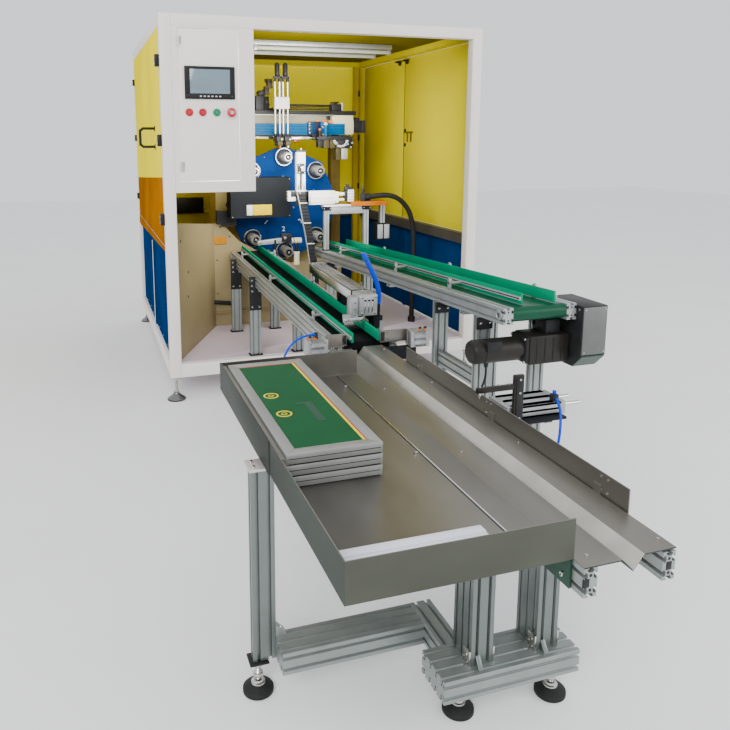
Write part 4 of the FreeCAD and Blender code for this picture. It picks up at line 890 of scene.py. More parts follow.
def stroke_stops(beam):
    """Stops on a rod over the top plate."""
    beam.block((850, 960, 1594), (880, 1000, 1640), DARK, soft=2)
    beam.rod((850, 980, 1628), (1245, 980, 1628), 8, DARK)
    beam.rod((905, 980, 1628), (955, 980, 1628), 15, DARK, soft=2)
    for z in (1602, 1612):
        beam.rod((905, 968, z), (1240, 968, z), 3.5, BLACK, sides=16)
    beam.block((1240, 950, 1594), (1310, 1010, 1640), DARK, soft=2)
    beam.rod((1275, 980, 1640), (1275, 980, 1648), 12, DARK, soft=2)
    beam.rod((1240, 980, 1648), (1298, 980, 1652), 5, DARK, soft=1)
    beam.block((1312, 965, 1594), (1324, 985, 1650), PALE, soft=1.5)
    beam.block((803, 825, 1594), (887, 970, 1606), DARK, soft=1)
    beam.block((1200, 940, 1534), (1224, 952, 1562), DARK, soft=2)


def servo_motor(beam):
    """The motor behind its flange, with its fins and connector."""
    beam.block((1395, 970, 1446), (1407, 1050, 1535), PALE, soft=1)
    for start in range(1407, 1470, 9):
        beam.block((start, 974, 1449), (start + 6, 1046, 1532), DARK, soft=1.5)
    beam.block((1407, 979, 1454), (1472, 1041, 1527), GREY, soft=2)
    beam.block((1470, 973, 1448), (1495, 1047, 1533), DARK, soft=4)
    beam.block((1425, 985, 1531), (1455, 1035, 1552), DARK, soft=3)
    for z in (1455, 1526):
        beam.screw((1401, 970, z), FRONT, 4, ZINC)


def regulators(beam):
    """Regulators and valve blocks left of the stroke rods, on the top plate."""
    for x, y, z, wide, tall, mat in (
            (706, 930, 1594, 60, 92, DARK), (768, 935, 1594, 30, 88, GREY), (640, 940, 1594, 60, 66, DARK),
            (730, 950, 1686, 44, 34, BLACK), (773, 945, 1690, 30, 60, OLIVE),
            (790, 940, 1735, 34, 62, OLIVE), (560, 950, 1594, 60, 40, DARK),
            (500, 955, 1594, 40, 70, GREY)):
        beam.block((x, y, z), (x + wide, y + 46, z + tall), mat, soft=3)
        middle = z + tall * 0.6
        beam.rod((x + wide / 2, y - 7, middle), (x + wide / 2, y, middle), min(11, wide / 3), DARK, soft=1)
        beam.rod((x - 12, y + 20, middle), (x, y + 20, middle), 5, DARK, soft=1)
        beam.rod((x + wide, y + 20, z + tall * 0.4), (x + wide + 9, y + 20, z + tall * 0.4), 5, ZINC)
    beam.rod((782, 960, 1776), (782, 960, 1796), 8, DARK, soft=1)
    beam.block((600, 925, 1440), (640, 950, 1540), DARK, soft=2)


def print_head():
    """The beam with its linear rail and what is screwed to it, then the units that move on it."""
    low, high = span("head_beam")
    left, front, back = low.x, 950, high.y
    rail_z = (1434, 1508)
    beam = Shape()
    beam.block((left, front, 1432), (1240, back, 1568), BEAM_GREY, soft=2)
    beam.block((1240.5, front - 1, 1436), (1395, back, 1566), CREAM_PALE, soft=2)
    beam.block((left, 930, 1568), (1409, back, 1594), DARK, soft=2)
    beam.block((left, 938, 1560), (1250, front, 1568), FRAME_ALU, soft=1)
    beam.block((left, 936, rail_z[0]), (1330, front, rail_z[1]), SKY, soft=2)
    for z in (1452, 1471, 1490):
        beam.block((left, 935.4, z - 1.4), (1330, 937, z + 1.4), SKY_DEEP, soft=0.5)
    for x in range(int(left) + 30, 1330, 60):
        beam.rod((x, 936, 1471), (x, 935, 1471), 4.2, SKY_DEEP, sides=12)
    beam.block((left, front, 1406), (1350, back, 1432), DARK, soft=1.5)
    for x, wide in ((700, 90), (960, 120), (1125, 60)):
        beam.block((x, 934, 1408), (x + wide, 951, 1420), PALE, soft=1.5)
    beam.block((965, 932, 1388), (1003, 951, 1404), RED, soft=1.5)
    for x in (720, 830, 1020, 1180):
        beam.screw((x, front, 1419), FRONT, 5, ZINC)
    for x in (1120, 1165, 1210):
        beam.block((x, 930, 1512), (x + 30, 950, 1530), ORANGE, soft=2)
    stroke_stops(beam)
    servo_motor(beam)
    regulators(beam)
    beam.done("head_beam_assembly", "head_beam")

    for node, x, depth, shade in (("squeegee", 818, 15, BLADE), ("flood_bar", 872, 11, STEEL)):
        print_unit(node, x, depth, shade)
    screen_carriage()


def print_unit(node, x, depth, shade):
    """A blade in its holder under two stroke rods, with the lift cylinder's cap on top."""
    unit = Shape()
    for side in (-15, 15):
        unit.rod((x + side, 800, 1400), (x + side, 800, 1795), 6, STEEL, sides=24)
        unit.rod((x + side, 800, 1420), (x + side, 800, 1440), 10, DARK, soft=1)
        unit.rod((x + side, 800, 1766), (x + side, 800, 1790), 9, DARK, soft=1)
    unit.block((x - 24, 787, 1786), (x + 24, 813, 1802), DARK, soft=1.5)
    unit.lathe((x, 800, 1802), UP, [(0, 0), (0, 13), (4, 16), (30, 16), (32, 14), (34, 16), (70, 16),
                                    (80, 12), (84, 6), (84, 0)], DARK)
    for side in (-1, 1):
        unit.screw((x + side * 19, 793, 1802), UP, 3.4, STEEL)
    unit.block((x - 24, 730, 1390), (x + 24, 828, 1420), DARK, soft=2.5)
    unit.block((x - 15, 732, 1362), (x + 15, 826, 1392), OLIVE, soft=2)
    unit.rod((x - 24, 745, 1380), (x - 15, 745, 1380), 7, BLACK, soft=1.5)
    unit.rod((x, 742, 1420), (x, 742, 1436), 9, DARK, soft=1.5)
    unit.rod((x + 8, 729, 1404), (x + 8, 722, 1404), 6, PALE, soft=1)
    unit.block((x - 4, 735, 1362 - depth), (x + 4, 826, 1366), shade, soft=1)
    for y in (745, 779, 813):
        unit.screw((x - 15, y, 1378), LEFT, 4, STEEL)
        unit.screw((x + 15, y, 1378), RIGHT, 4, STEEL)
    unit.done(f"{node}_unit", node)


def screen_carriage():
    """The slide on the blue rail, its lift cylinder, and the dark clamp that a screen hangs in."""
    unit = Shape()
    unit.block((1060, 918, 1436), (1150, 935, 1520), NAVY, soft=2)
    unit.block((1150, 918, 1436), (1200, 935, 1520), SKY, soft=2)
    unit.block((1080, 914, 1446), (1105, 919, 1510), SKY_DEEP, soft=1.5)
    for z in (1448, 1471, 1494, 1508):
        unit.screw((1072, 918, z), FRONT, 5, STEEL)
        unit.screw((1188, 918, z), FRONT, 5, STEEL)
    unit.block((1085, 850, 1400), (1175, 918, 1424), DARK, soft=1.5)
    unit.block((1085, 905, 1424), (1175, 918, 1436), DARK, soft=1)
    unit.lathe((1172, 880, 1410), UP, [(0, 0), (0, 13), (78, 13), (80, 14), (88, 14), (88, 0)], SKY)
    unit.lathe((1172, 880, 1498), UP, [(0, 0), (0, 15), (5, 15), (6, 12), (16, 12), (18, 8), (18, 0)], PALE)
    unit.rod((1146, 880, 1434), (1158, 880, 1434), 5, ORANGE, soft=1)
    unit.rod((1146, 880, 1484), (1158, 880, 1484), 5, ORANGE, soft=1)
    unit.block((1120, 862, 1424), (1140, 905, 1462), DARK, soft=2)
    unit.rod((1131, 884, 1462), (1131, 884, 1475), 7, ORANGE, soft=1)
    # clamp arm, dark blocks and brass bits below it
    unit.block((1091, 786, 1398), (1331, 850, 1424), DARK, soft=3)
    unit.block((1128, 782, 1345), (1166, 848, 1398), OLIVE, soft=3)
    unit.block((1172, 782, 1345), (1207, 848, 1398), OLIVE, soft=3)
    unit.block((1091, 790, 1352), (1126, 846, 1398), DARK, soft=3)
    unit.block((1216, 790, 1266), (1252, 840, 1345), OLIVE, soft=2.5)
    unit.block((1256, 794, 1272), (1300, 838, 1345), CAST, soft=2.5)
    unit.block((1212, 786, 1345), (1331, 846, 1398), DARK, soft=3)
    # pale links of a short energy chain hang across the front
    for k in range(9):
        turn = math.pi * k / 8
        x, z = 1245 - 44 * math.cos(turn), 1392 - 34 * math.sin(turn) * (1 if k > 2 else 0.6)
        unit.block((x - 7, 774, z - 7), (x + 7, 786, z + 7), PALE, soft=2.5)
        unit.rod((x, 772.5, z), (x, 774, z), 3, DARK, sides=12)
    for x, z in ((1290, 1372), (1312, 1352), (1322, 1380)):
        unit.rod((x, 782, z), (x, 768, z), 10, DARK, soft=2)
        unit.rod((x, 768, z), (x, 764, z), 6, STEEL, soft=1)
    for x in (1110, 1180, 1250, 1312):
        unit.rod((x, 810, 1424), (x, 810, 1434), 9, DARK, sides=6, soft=1)
    unit.block((925, 862, 1405), (1091, 874, 1417), STEEL, soft=1)
    unit.block((1079, 840, 1400), (1091, 874, 1424), DARK, soft=1)
    unit.rod((930, 868, 1417), (930, 868, 1426), 5, RED, soft=0.8)
    unit.rod((960, 868, 1417), (960, 868, 1424), 5, DARK, soft=0.8)
    unit.done("screen_carriage_unit", "screen_carriage")


def loader():
    """A gantry over the outfeed: two slotted posts, a plate, the upright slide and a cable chain."""
    stand = Shape()
    foot = 726
    for x in (996, 1256):
        stand.slotted((x, 370, foot), (x + 30, 400, 1000), ALU_PALE)
        stand.block((x - 12, 366, 975), (x + 42, 370.5, 1000), GREY, soft=1)
        for screw_x in (x - 5, x + 35):
            stand.screw((screw_x, 366, 987), FRONT, 4, ZINC)
        stand.block((x - 6, 366, foot), (x + 36, 404, foot + 8), GREY, soft=1)
    stand.block((1026, 374, 952), (1256, 396, 998), CAST, soft=1.5)
    stand.block((985, 350, 1000), (1160, 430, 1010), PALE, soft=1)
    stand.block((1160, 350, 1000), (1410, 430, 1010), ORANGE_DULL, soft=1)
    stand.block((1160, 350, 1010), (1410, 356, 1026), ORANGE_DULL, soft=1.5)
    stand.block((1160, 424, 1010), (1410, 430, 1026), ORANGE_DULL, soft=1.5)
    stand.block((1236, 372, 1010), (1264, 392, 1076), DARK, soft=4)
    stand.rod((1250, 382, 1076), (1250, 382, 1118), 9, DARK, soft=2)
    # upright slide: a pale plate with a slotted lower half and end blocks
    stand.block((830, 402, 1096), (886, 440, 1342), PALE, soft=1.5)
    stand.block((834, 399, 1215), (880, 402.5, 1330), PALE, soft=1)
    for x in (836, 872):
        stand.block((x, 399, 1104), (x + 8, 402.5, 1215), STEEL, soft=0.8)
    stand.block((850, 398.5, 1104), (861, 402, 1212), DARK, soft=0.5)
    stand.block((826, 396, 1330), (890, 442, 1342), DARK, soft=1.5)
    stand.block((826, 398, 1088), (890, 442, 1100), ALU_PALE, soft=1.5)
    stand.rod((858, 405, 1342), (858, 405, 1350), 6, STEEL, soft=1)
    for z in (1120, 1220, 1318):
        stand.screw((830, 420, z), LEFT, 4, ZINC)
    for x in (842, 872):
        for z in (1230, 1312):
            stand.screw((x, 399, z), FRONT, 4, ZINC)
    stand.block((822, 402, 1010), (1000, 430, 1090), DARK, soft=1.5)
    stand.screw((850, 402, 1082), FRONT, 5, ZINC)
    stand.screw((980, 402, 1030), FRONT, 5, ZINC)
    cable_chain(stand)
    # sensor box under the plate
    stand.block((1365, 430, 770), (1460, 500, 880), GREY, soft=3)
    stand.block((1372, 427, 780), (1408, 431, 870), CAST, soft=1.5)
    stand.block((1416, 427, 780), (1452, 431, 870), CAST, soft=1.5)
    stand.rod((1390, 425, 860), (1390, 428, 860), 3, ORANGE, sides=12)
    stand.slotted((1390, 430, 880), (1420, 460, 1010), ALU_PALE)
    stand.block((1275, 385, 1010), (1305, 425, 1030), GREY, soft=1.5)
    stand.lathe((1270, 405, 1050), RIGHT, [(0, 0), (0, 20), (3, 22), (16, 22), (18, 19), (22, 19), (24, 22),
                                           (34, 20), (40, 17), (40, 0)], BLACK)
    for x in (1000, 1090, 1290, 1390):
        stand.screw((x, 362, 1010), UP, 5, ZINC)
    stand.done("loader_stand_unit", "loader_stand")

    slide = Shape()
    slide.block((833, 384, 1200), (883, 401.5, 1260), DARK, soft=2)
    slide.block((838, 340, 1236), (850, 384, 1244), STEEL, soft=1)
    for x in (841, 875):
        for z in (1208, 1252):
            slide.screw((x, 384, z), FRONT, 4, STEEL, CAST)
    slide.block((853, 378, 1216), (876, 384.5, 1246), CAST, soft=1)
    slide.done("loader_slide_unit", "loader_slide")


def cable_chain(shape):
    """A chain of dark links from the slide down to the floor, with a bright edge and pale ties."""
    near, far = 376, 392
    line = [(850, 1085), (868, 1005), (902, 821), (939, 593), (939, 206)]
    half = 23
    links = []
    for (x0, z0), (x1, z1) in zip(line, line[1:]):
        count = max(1, round(math.hypot(x1 - x0, z1 - z0) / 22))
        links += [(x0 + (x1 - x0) * k / count, z0 + (z1 - z0) * k / count) for k in range(count)]
    for (x, z), (x_low, z_low) in zip(links, links[1:] + line[-1:]):
        top, base = z - 1.2, z_low + 1.2
        outline = [(x - half, top), (x + half, top), (x_low + half, base), (x_low - half, base)]
        shape.prism(outline, 1, near, far, BLACK, soft=1.2)
        shape.prism([(x - half + 6, top - 4), (x + half - 6, top - 4), (x_low + half - 6, base + 4),
                     (x_low - half + 6, base + 4)], 1, near - 0.9, near + 0.4, BLACK)
        shape.prism([(x - half - 4, z), (x - half, z), (x_low - half, z_low), (x_low - half - 4, z_low)], 1,
                    near - 2, far - 2, ALU_PALE)
    for x, z in links[3::6]:
        shape.block((x - half - 1, near - 1.8, z - 2.5), (x + half + 1, near + 1, z + 2.5), PALE, soft=0.6)
    shape.block((836, far, 1050), (862, 402, 1080), BLACK, soft=1)


# ---------------------------------------------------------------- conveyors

def guide_pieces(shape, x, start, end, tall, brackets, side, half):
    """A green guide with its strip, arms and feet, on a belt's left (side -1) or right (side 1)."""
    top = 3 + tall
    shape.block((x, start, 3), (x + 8, end, top), GREEN, soft=1)
    near, far = (x - 6, x) if side < 0 else (x + 8, x + 14)
    strip_low, strip_high = 3 + tall / 3, 3 + 2 * tall / 3
    shape.block((near, start, strip_low), (far, end, strip_high), ALU_PALE, soft=0.8)
    face = near if side < 0 else far
    middle = (strip_low + strip_high) / 2
    for edge in (strip_low + 2.4, strip_high - 2.4):
        shape.block((face - 1, start + 0.5, edge - 1.6), (face + 1, end - 0.5, edge + 1.6), ALU_PALE,
                    soft=0.5)
    shape.block((face - 0.4, start + 2, middle - 2), (face + 0.4, end - 2, middle + 2), DARK, soft=0)
    outer = half + 14
    for y in brackets:
        low_x, high_x = (-outer, x - 6) if side < 0 else (x + 14, outer)
        foot = (-outer, -outer + 10) if side < 0 else (outer - 10, outer)
        shape.block((low_x, y, middle - 4), (high_x, y + 20, middle + 4), CAST, soft=1)
        shape.block((foot[0], y, 0), (foot[1], y + 20, top - 4), CAST, soft=1.5)
        shape.screw(((foot[0] + foot[1]) / 2, y + 10, top - 4), UP, 5, ALU_PALE)
        outwards = -1 if side < 0 else 1
        shape.screw((foot[0] if side < 0 else foot[1], y + 10, 8), (outwards, 0, 0), 4.5, ALU_PALE)


def belt_ribbon(shape, half, long, mat):
    """A thin endless belt round two end rollers, as wide as the belt: outer and inner skins."""
    loops = []
    axle = 25
    for radius in (28, 25.4):
        angles = [math.pi * k / 16 for k in range(17)]
        turn = [(radius * math.sin(angle), radius * math.cos(angle)) for angle in angles]
        front_end = [(axle - y, z - 28) for y, z in reversed(turn)]
        loops.append(front_end + [(long - axle + y, z - 28) for y, z in turn])
    part = bmesh.new()
    outer, inner = [[[part.verts.new((x, y, z)) for y, z in loop] for x in (-half, half)] for loop in loops]
    count = len(loops[0])
    for k in range(count):
        after = (k + 1) % count
        part.faces.new([outer[0][k], outer[0][after], outer[1][after], outer[1][k]])
        part.faces.new([inner[0][k], inner[0][after], inner[1][after], inner[1][k]])
        for side in (0, 1):
            part.faces.new([outer[side][k], outer[side][after], inner[side][after], inner[side][k]])
    bmesh.ops.recalc_face_normals(part, faces=part.faces)
    shape.add(part, mat)


# each conveyor's name, half the belt's width, its side bars' width and height, its tie bars and its belt
CONVEYORS = (("infeed", 93, 30, 80, (400, 1000, 1700), BLACK_BELT),
             ("outfeed", 110, 40, 60, (350, 1100, 1900), BELT))


def conveyors():
    """Two belts between slotted side bars, with their rollers, guides and stands."""
    belts = Shape()
    for pre, half, wide, tall, ties, surface in CONVEYORS:
        place, long = conveyor_place(f"{pre}_drive_roller", f"{pre}_tail_roller")
        bars = Shape(place)
        inner = half + 2
        for low_x, high_x in ((-inner - wide, -inner), (inner, inner + wide)):
            bars.slotted((low_x, -4, -tall), (high_x, long + 4, 0), ALU_PALE)
        for y in ties:
            bars.slotted((-inner, y, -90), (inner, y + 40, -60), ALU_PALE)
        for y in (25, long - 25):
            for side in (-1, 1):
                face = side * (inner + wide)
                bars.lathe((face - side, y, -28), (side, 0, 0), [(0, 0), (0, 19), (4, 19), (5, 17), (5, 12),
                                                                 (3, 11), (3, 8)], CAST)
                bars.lathe((face + side * 2, y, -28), (side, 0, 0), [(0, 8.5), (1.5, 8), (1.5, 0)], STEEL)
        bars.done(f"{pre}_frame_bars", f"{pre}_frame")
        ribbon = belts.part(place)
        belt_ribbon(ribbon, half, long, surface)
        belts.take(ribbon)
        for end in ("drive", "tail"):
            dress(f"{pre}_{end}_roller", STEEL, soft=0.6)
    belts.done("belts", "conveyor_belts")

    guides = Shape()
    for pre, half, start, end, tall, left, right, left_feet, right_feet in (
            ("infeed", 93, (0, 0), -40, 38, -62, 46, (350, 1100, 1800), (300, 1000, 1800)),
            ("outfeed", 110, (30, 20), -60, 42, -60, 72, (450, 1000, 1800), (200, 900, 1700))):
        place, long = conveyor_place(f"{pre}_drive_roller", f"{pre}_tail_roller")
        part = guides.part(place)
        guide_pieces(part, left, start[0], long + end, tall, left_feet, -1, half)
        guide_pieces(part, right, start[1], long + end, tall, right_feet, 1, half)
        guides.take(part)
    guides.done("guide_rails_fitted", "guide_rails")
    conveyor_stands()


def conveyor_stands():
    """Slotted posts on black shoes; those inside the cabinet are tied to the infeed by black plates."""
    stands = Shape()
    for low, high in solids("support_posts"):
        size = high - low
        if size.z > 150:
            stands.slotted(low, high, ALU_POST)
            inside = low.y > 0
            rise = 9 if inside else 4
            stands.block((low.x - 7, low.y - 7, low.z), (high.x + 7, high.y + 7, low.z + rise), BLACK,
                         soft=1.5)
            at_infeed = inside and low.x < 900
            tie_low, tie_high = (high.z - 130, high.z + 60) if at_infeed else (high.z - 50, high.z - 4)
            stands.block((low.x - 4, low.y - 6, tie_low), (high.x + 4, low.y, tie_high), BLACK, soft=1.5)
            levels = (high.z - 110, high.z - 20, high.z + 10, high.z + 40)
            for x in (low.x + 10, high.x - 10):
                for z in levels if tie_high > high.z else (high.z - 27, ):
                    stands.screw((x, low.y - 6, z), FRONT, 6.5, ZINC)
                stands.screw((x, low.y - 3, low.z + rise), UP, 4, ZINC)
        elif size.z < 12:
            stands.block(low, high, BLACK, soft=2)
            for x in (low.x + 10, high.x - 10):
                stands.screw((x, low.y + 12, high.z), UP, 7, ZINC)
        elif size.y > 150:
            stands.slotted(low, high, ALU_POST)
        else:
            middle = (low + high) / 2
            stands.block((low.x, low.y, high.z - 8), high, BLACK, soft=1)
            stands.lathe((middle.x, middle.y, low.z), UP, [(0, 4.2), (0, 6), (3, 8), (16, 8), (18, 6.5),
                                                           (24, 6.5), (24, 0)], BLACK)
    stands.done("support_posts_slotted", "support_posts")


# ---------------------------------------------------------------- pneumatics

def ribbed_cylinder(shape, low, high, axis):
    """A profiled air cylinder body: grooved sides between two end caps."""
    low, high = Vector(low), Vector(high)
    ribs = 3
    cap = min(16, (high[axis] - low[axis]) * 0.18)
    others = [i for i in range(3) if i != axis]
    body_low, body_high = low.copy(), high.copy()
    body_low[axis] += cap
    body_high[axis] -= cap
    core_low, core_high = body_low.copy(), body_high.copy()
    for i in others:
        core_low[i] += 3
        core_high[i] -= 3
    shape.block(core_low, core_high, DARK, soft=0.5)
    for i in others:
        j = others[1] if i == others[0] else others[0]
        wide = (high[j] - low[j]) / (2 * ribs - 1)
        for k in range(ribs):
            rib_low, rib_high = body_low.copy(), body_high.copy()
            rib_low[j] = low[j] + 2 * k * wide
            rib_high[j] = rib_low[j] + wide
            shape.block(rib_low, rib_high, CAST, soft=0.8)
    for start in (low[axis], high[axis] - cap):
        cap_low, cap_high = low.copy(), high.copy()
        cap_low[axis], cap_high[axis] = start, start + cap
        shape.block(cap_low, cap_high, CAST, soft=2)


def gate_cylinder(local, low, high, bracket):
    """A short cylinder beside the infeed's end, on its bracket, with two ports and elbows on top."""
    ribbed_cylinder(local, low, high, 0)
    local.block((bracket[0], -60, -60), (bracket[1], -16, -17), GREY, soft=2)
    for x in (bracket[0] + 10, bracket[1] - 10):
        local.screw((x, -60, -38), FRONT, 5, STEEL)
    way = 1 if low[0] < 0 else -1
    inner, outer = (high[0], low[0] + 14) if way > 0 else (low[0], high[0] - 14)
    for z in (4, 26):
        local.rod((inner, -34, z), (inner + way * 3, -34, z), 8, STEEL, soft=1)
    for x in (outer, outer + 22 * way):
        local.rod((x, -40, 44), (x, -40, 54), 5, ORANGE, soft=1)
        local.rod((x, -40, 52), (x, -52, 58), 4.5, DARK, soft=1)
    for x in (low[0] + 12, high[0] - 12):
        for z in (-8, 34):
            local.screw((x, low[1], z), FRONT, 4.5, STEEL)


def rodless_cylinder(local):
    """The pusher's long grooved body above the infeed, its square head, rail and legs."""
    local.slotted((35, 250, 98), (95, 815, 150), CAST, pitch=20)
    for x in (44, 58, 72, 86):
        local.block((x - 2.2, 250, 150), (x + 2.2, 815, 153), STEEL, soft=0.8)
    local.block((33, 810, 96), (97, 830, 152), CAST, soft=2.5)
    local.block((24, 250, 104), (35, 830, 144), STEEL, soft=1.5)
    local.block((23, 140, 64), (100, 232, 150), CAST, soft=4)
    local.block((25, 232, 68), (98, 250, 148), GREY, soft=2)
    for x in (33, 90):
        for z in (74, 140):
            local.screw((x, 140, z), FRONT, 6, STEEL)
    for x in (46, 62, 78):
        local.block((x - 4, 138.6, 78), (x + 4, 141, 138), STEEL, soft=1)
        local.rod((x, 139, 128), (x, 136, 128), 4.5, DARK, sides=16)
    for x in (41, 53, 65, 77, 89):
        local.block((x, 150, 149), (x + 4, 226, 152), STEEL, soft=1)
    for y in (160, 180, 200, 220):
        local.block((21.6, y - 3, 70), (24, y + 3, 144), STEEL, soft=0.8)
    local.rod((100, 180, 120), (108, 180, 120), 7, ORANGE, soft=1)
    local.rod((100, 205, 96), (110, 205, 96), 6, DARK, soft=1)
    local.block((95, 560, 0), (125, 620, 120), GREY, soft=2)
    local.block((98, 170, 0), (125, 230, 100), GREY, soft=2)
    for y in (575, 605):
        local.screw((110, y, 120), UP, 4, STEEL)


def valve_block(shape):
    """The valve block with its coils and ports, under the hose bundle."""
    shape.block((730, -1030, 600), (802, -970, 640), CAST, soft=2)
    for x in (734, 758, 782):
        shape.block((x, -1026, 640), (x + 17, -974, 660), DARK, soft=2)
    shape.rod((778, -1000, 640), (778, -1000, 664), 14, DARK, soft=1.5)
    for y in (-1020, -1000, -980):
        shape.rod((722, y, 618), (730, y, 618), 5, TUBE_BLUE, soft=0.8)


def unloading_unit(shape):
    """The cylinder over the gantry's plate: pale body, nose, and a sensor block beside it."""
    shape.block((891, 352, 1014), (1059, 401, 1097), PALE, soft=3)
    shape.block((891, 351, 1014), (905, 402, 1098), CAST, soft=1.5)
    for z in (1030, 1056, 1082):
        shape.block((910, 350.8, z - 0.8), (1050, 352.5, z + 0.8), CAST, soft=0.3)
    for x in (918, 1046):
        for z in (1024, 1087):
            shape.screw((x, 352, z), FRONT, 4, STEEL)
    shape.block((1059, 356, 1023), (1084, 397, 1089), CREAM_PALE, soft=2)
    shape.rod((1084, 372, 1074), (1122, 372, 1074), 11, PALE, soft=1)
    shape.rod((1084, 372, 1040), (1122, 372, 1040), 9, CREAM_PALE, soft=1)
    shape.block((1122, 362, 1030), (1140, 393, 1092), DARK, soft=2)
    shape.block((1146, 362, 1027), (1184, 393, 1100), PALE, soft=2)
    for z in (1040, 1058, 1076, 1092):
        shape.rod((1157, 360.5, z), (1157, 362.5, z), 3.6, DARK, sides=12)
        shape.rod((1172, 360.5, z), (1172, 362.5, z), 3.6, DARK, sides=12)
    shape.block((1140, 368, 1050), (1146, 388, 1080), DARK, soft=1)
    shape.block((1128, 366, 1092), (1170, 390, 1118), DARK, soft=4)
    shape.rod((1146, 378, 1118), (1146, 378, 1136), 9, DARK, soft=3)
    shape.rod((930, 377, 1097), (930, 377, 1105), 5, TUBE_BLUE, soft=1)


def transfer_unit(shape):
    """A unit on the infeed's right side bar, reaching over the belt in front of the disc."""
    shape.block((730, 570, 640), (742, 610, 780), GREY, soft=1.5)
    for y in (580, 600):
        shape.screw((742, y, 660), RIGHT, 5, STEEL)
    shape.prism([(625, 748), (790, 758), (790, 790), (625, 776)], 1, 575, 605, CAST, soft=1.5)
    for x in (640, 700, 760):
        shape.screw((x, 575, 764 + (x - 640) * 0.08), FRONT, 5, STEEL)
    shape.block((778, 572, 762), (846, 612, 814), DARK, soft=3)
    shape.rod((800, 571, 790), (800, 566, 790), 9, STEEL, soft=1)
    shape.rod((846, 592, 768), (912, 592, 768), 18, CREAM_PALE, soft=2)
    shape.rod((858, 592, 768), (864, 592, 768), 19, DARK, soft=1)
    shape.rod((882, 592, 696), (882, 592, 755), 11, DARK, soft=1)
    shape.lathe((882, 592, 611), UP, [(0, 0), (0, 17), (3, 20), (16, 20), (18, 18), (66, 18), (68, 20),
                                      (82, 20), (85, 17), (85, 0)], CREAM_PALE)
    shape.rod((820, 592, 740), (820, 592, 764), 12, DARK, soft=1.5)


def loading_valve(shape):
    """The valve beside the upright slide."""
    shape.block((773, 395, 1036), (822, 435, 1096), PALE, soft=3)
    shape.block((790, 392, 1062), (824, 396, 1096), DARK, soft=2)
    for z in (1046, 1066, 1086):
        shape.rod((765, 415, z), (773, 415, z), 6, DARK, soft=1)
    shape.block((822, 402, 1040), (830, 430, 1090), GREY, soft=1)


def rod_guide(shape):
    """The block that the stroke rods slide in, with its bushes."""
    shape.block((796, 780, 1597), (894, 825, 1671), PALE, soft=3)
    for x in (803, 833, 857, 887):
        shape.lathe((x, 800, 1595), UP, [(0, 6.1), (0, 9), (1.5, 10), (3, 10)], STEEL)
        shape.lathe((x, 800, 1673), (0, 0, -1), [(0, 6.1), (0, 9), (1.5, 10), (3, 10)], STEEL)
    for x in (804, 845, 886):
        for z in (1606, 1662):
            shape.screw((x, 780, z), FRONT, 3.6, STEEL)


def pneumatics():
    """The cylinders' bodies and valves, which stay still."""
    place, _ = conveyor_place("infeed_drive_roller", "infeed_tail_roller")
    shape = Shape()
    local = shape.part(place)
    rodless_cylinder(local)
    gate_cylinder(local, (-256, -60, -17), (-176, -8, 44), (-200, -155))
    gate_cylinder(local, (158, -60, -17), (236, -8, 44), (57, 182))
    shape.take(local)
    shape.lathe((390, -1362, 683), UP, [(0, 0), (0, 9), (5, 9), (6, 7.5), (22, 7.5), (22, 0)], DARK)
    shape.rod((378, -1362, 698), (392, -1362, 698), 7, TUBE_BLUE, soft=1)
    valve_block(shape)
    unloading_unit(shape)
    transfer_unit(shape)
    loading_valve(shape)
    rod_guide(shape)
    shape.done("air_cylinder_bodies", "air_cylinders")
    pusher_and_gates(place)


def pusher_and_gates(place):
    """The moving plates of the infeed's cylinders."""
    pusher = Shape(place)
    pusher.block((-10, 150, 50), (22, 200, 140), CAST, soft=2)
    pusher.block((-40, 150, 50), (-10, 170, 70), CAST, soft=1.5)
    pusher.block((-45, 140, 6), (40, 150, 60), STEEL, soft=1.5)
    for z in (70, 95, 120):
        pusher.screw((6, 150, z), FRONT, 5, STEEL)
    for x in (-35, 30):
        pusher.screw((x, 140, 50), FRONT, 4, STEEL)
    pusher.done("infeed_pusher_unit", "infeed_pusher")
    for node, plate, link, tip, way in (("left_gate", (-165, -90), (-174, -165), -100, -1),
                                        ("right_gate", (45, 148), (148, 156), 55, 1)):
        gate = Shape(place)
        gate.block((plate[0], -24, 2), (plate[1], -20, 50), BRUSHED, soft=1)
        gate.block((tip - 8, -26, 8), (tip + 8, -24, 44), DARK, soft=0.8)
        gate.block((link[0], -44, 2), (link[1], -20, 50), BRUSHED, soft=1)
        for z in (14, 38):
            gate.screw(((plate[0] + plate[1]) / 2 - way * 20, -24, z), FRONT, 3.6, BRUSHED)
        gate.done(f"{node}_plate", node)


# ---------------------------------------------------------------- outfeed drive

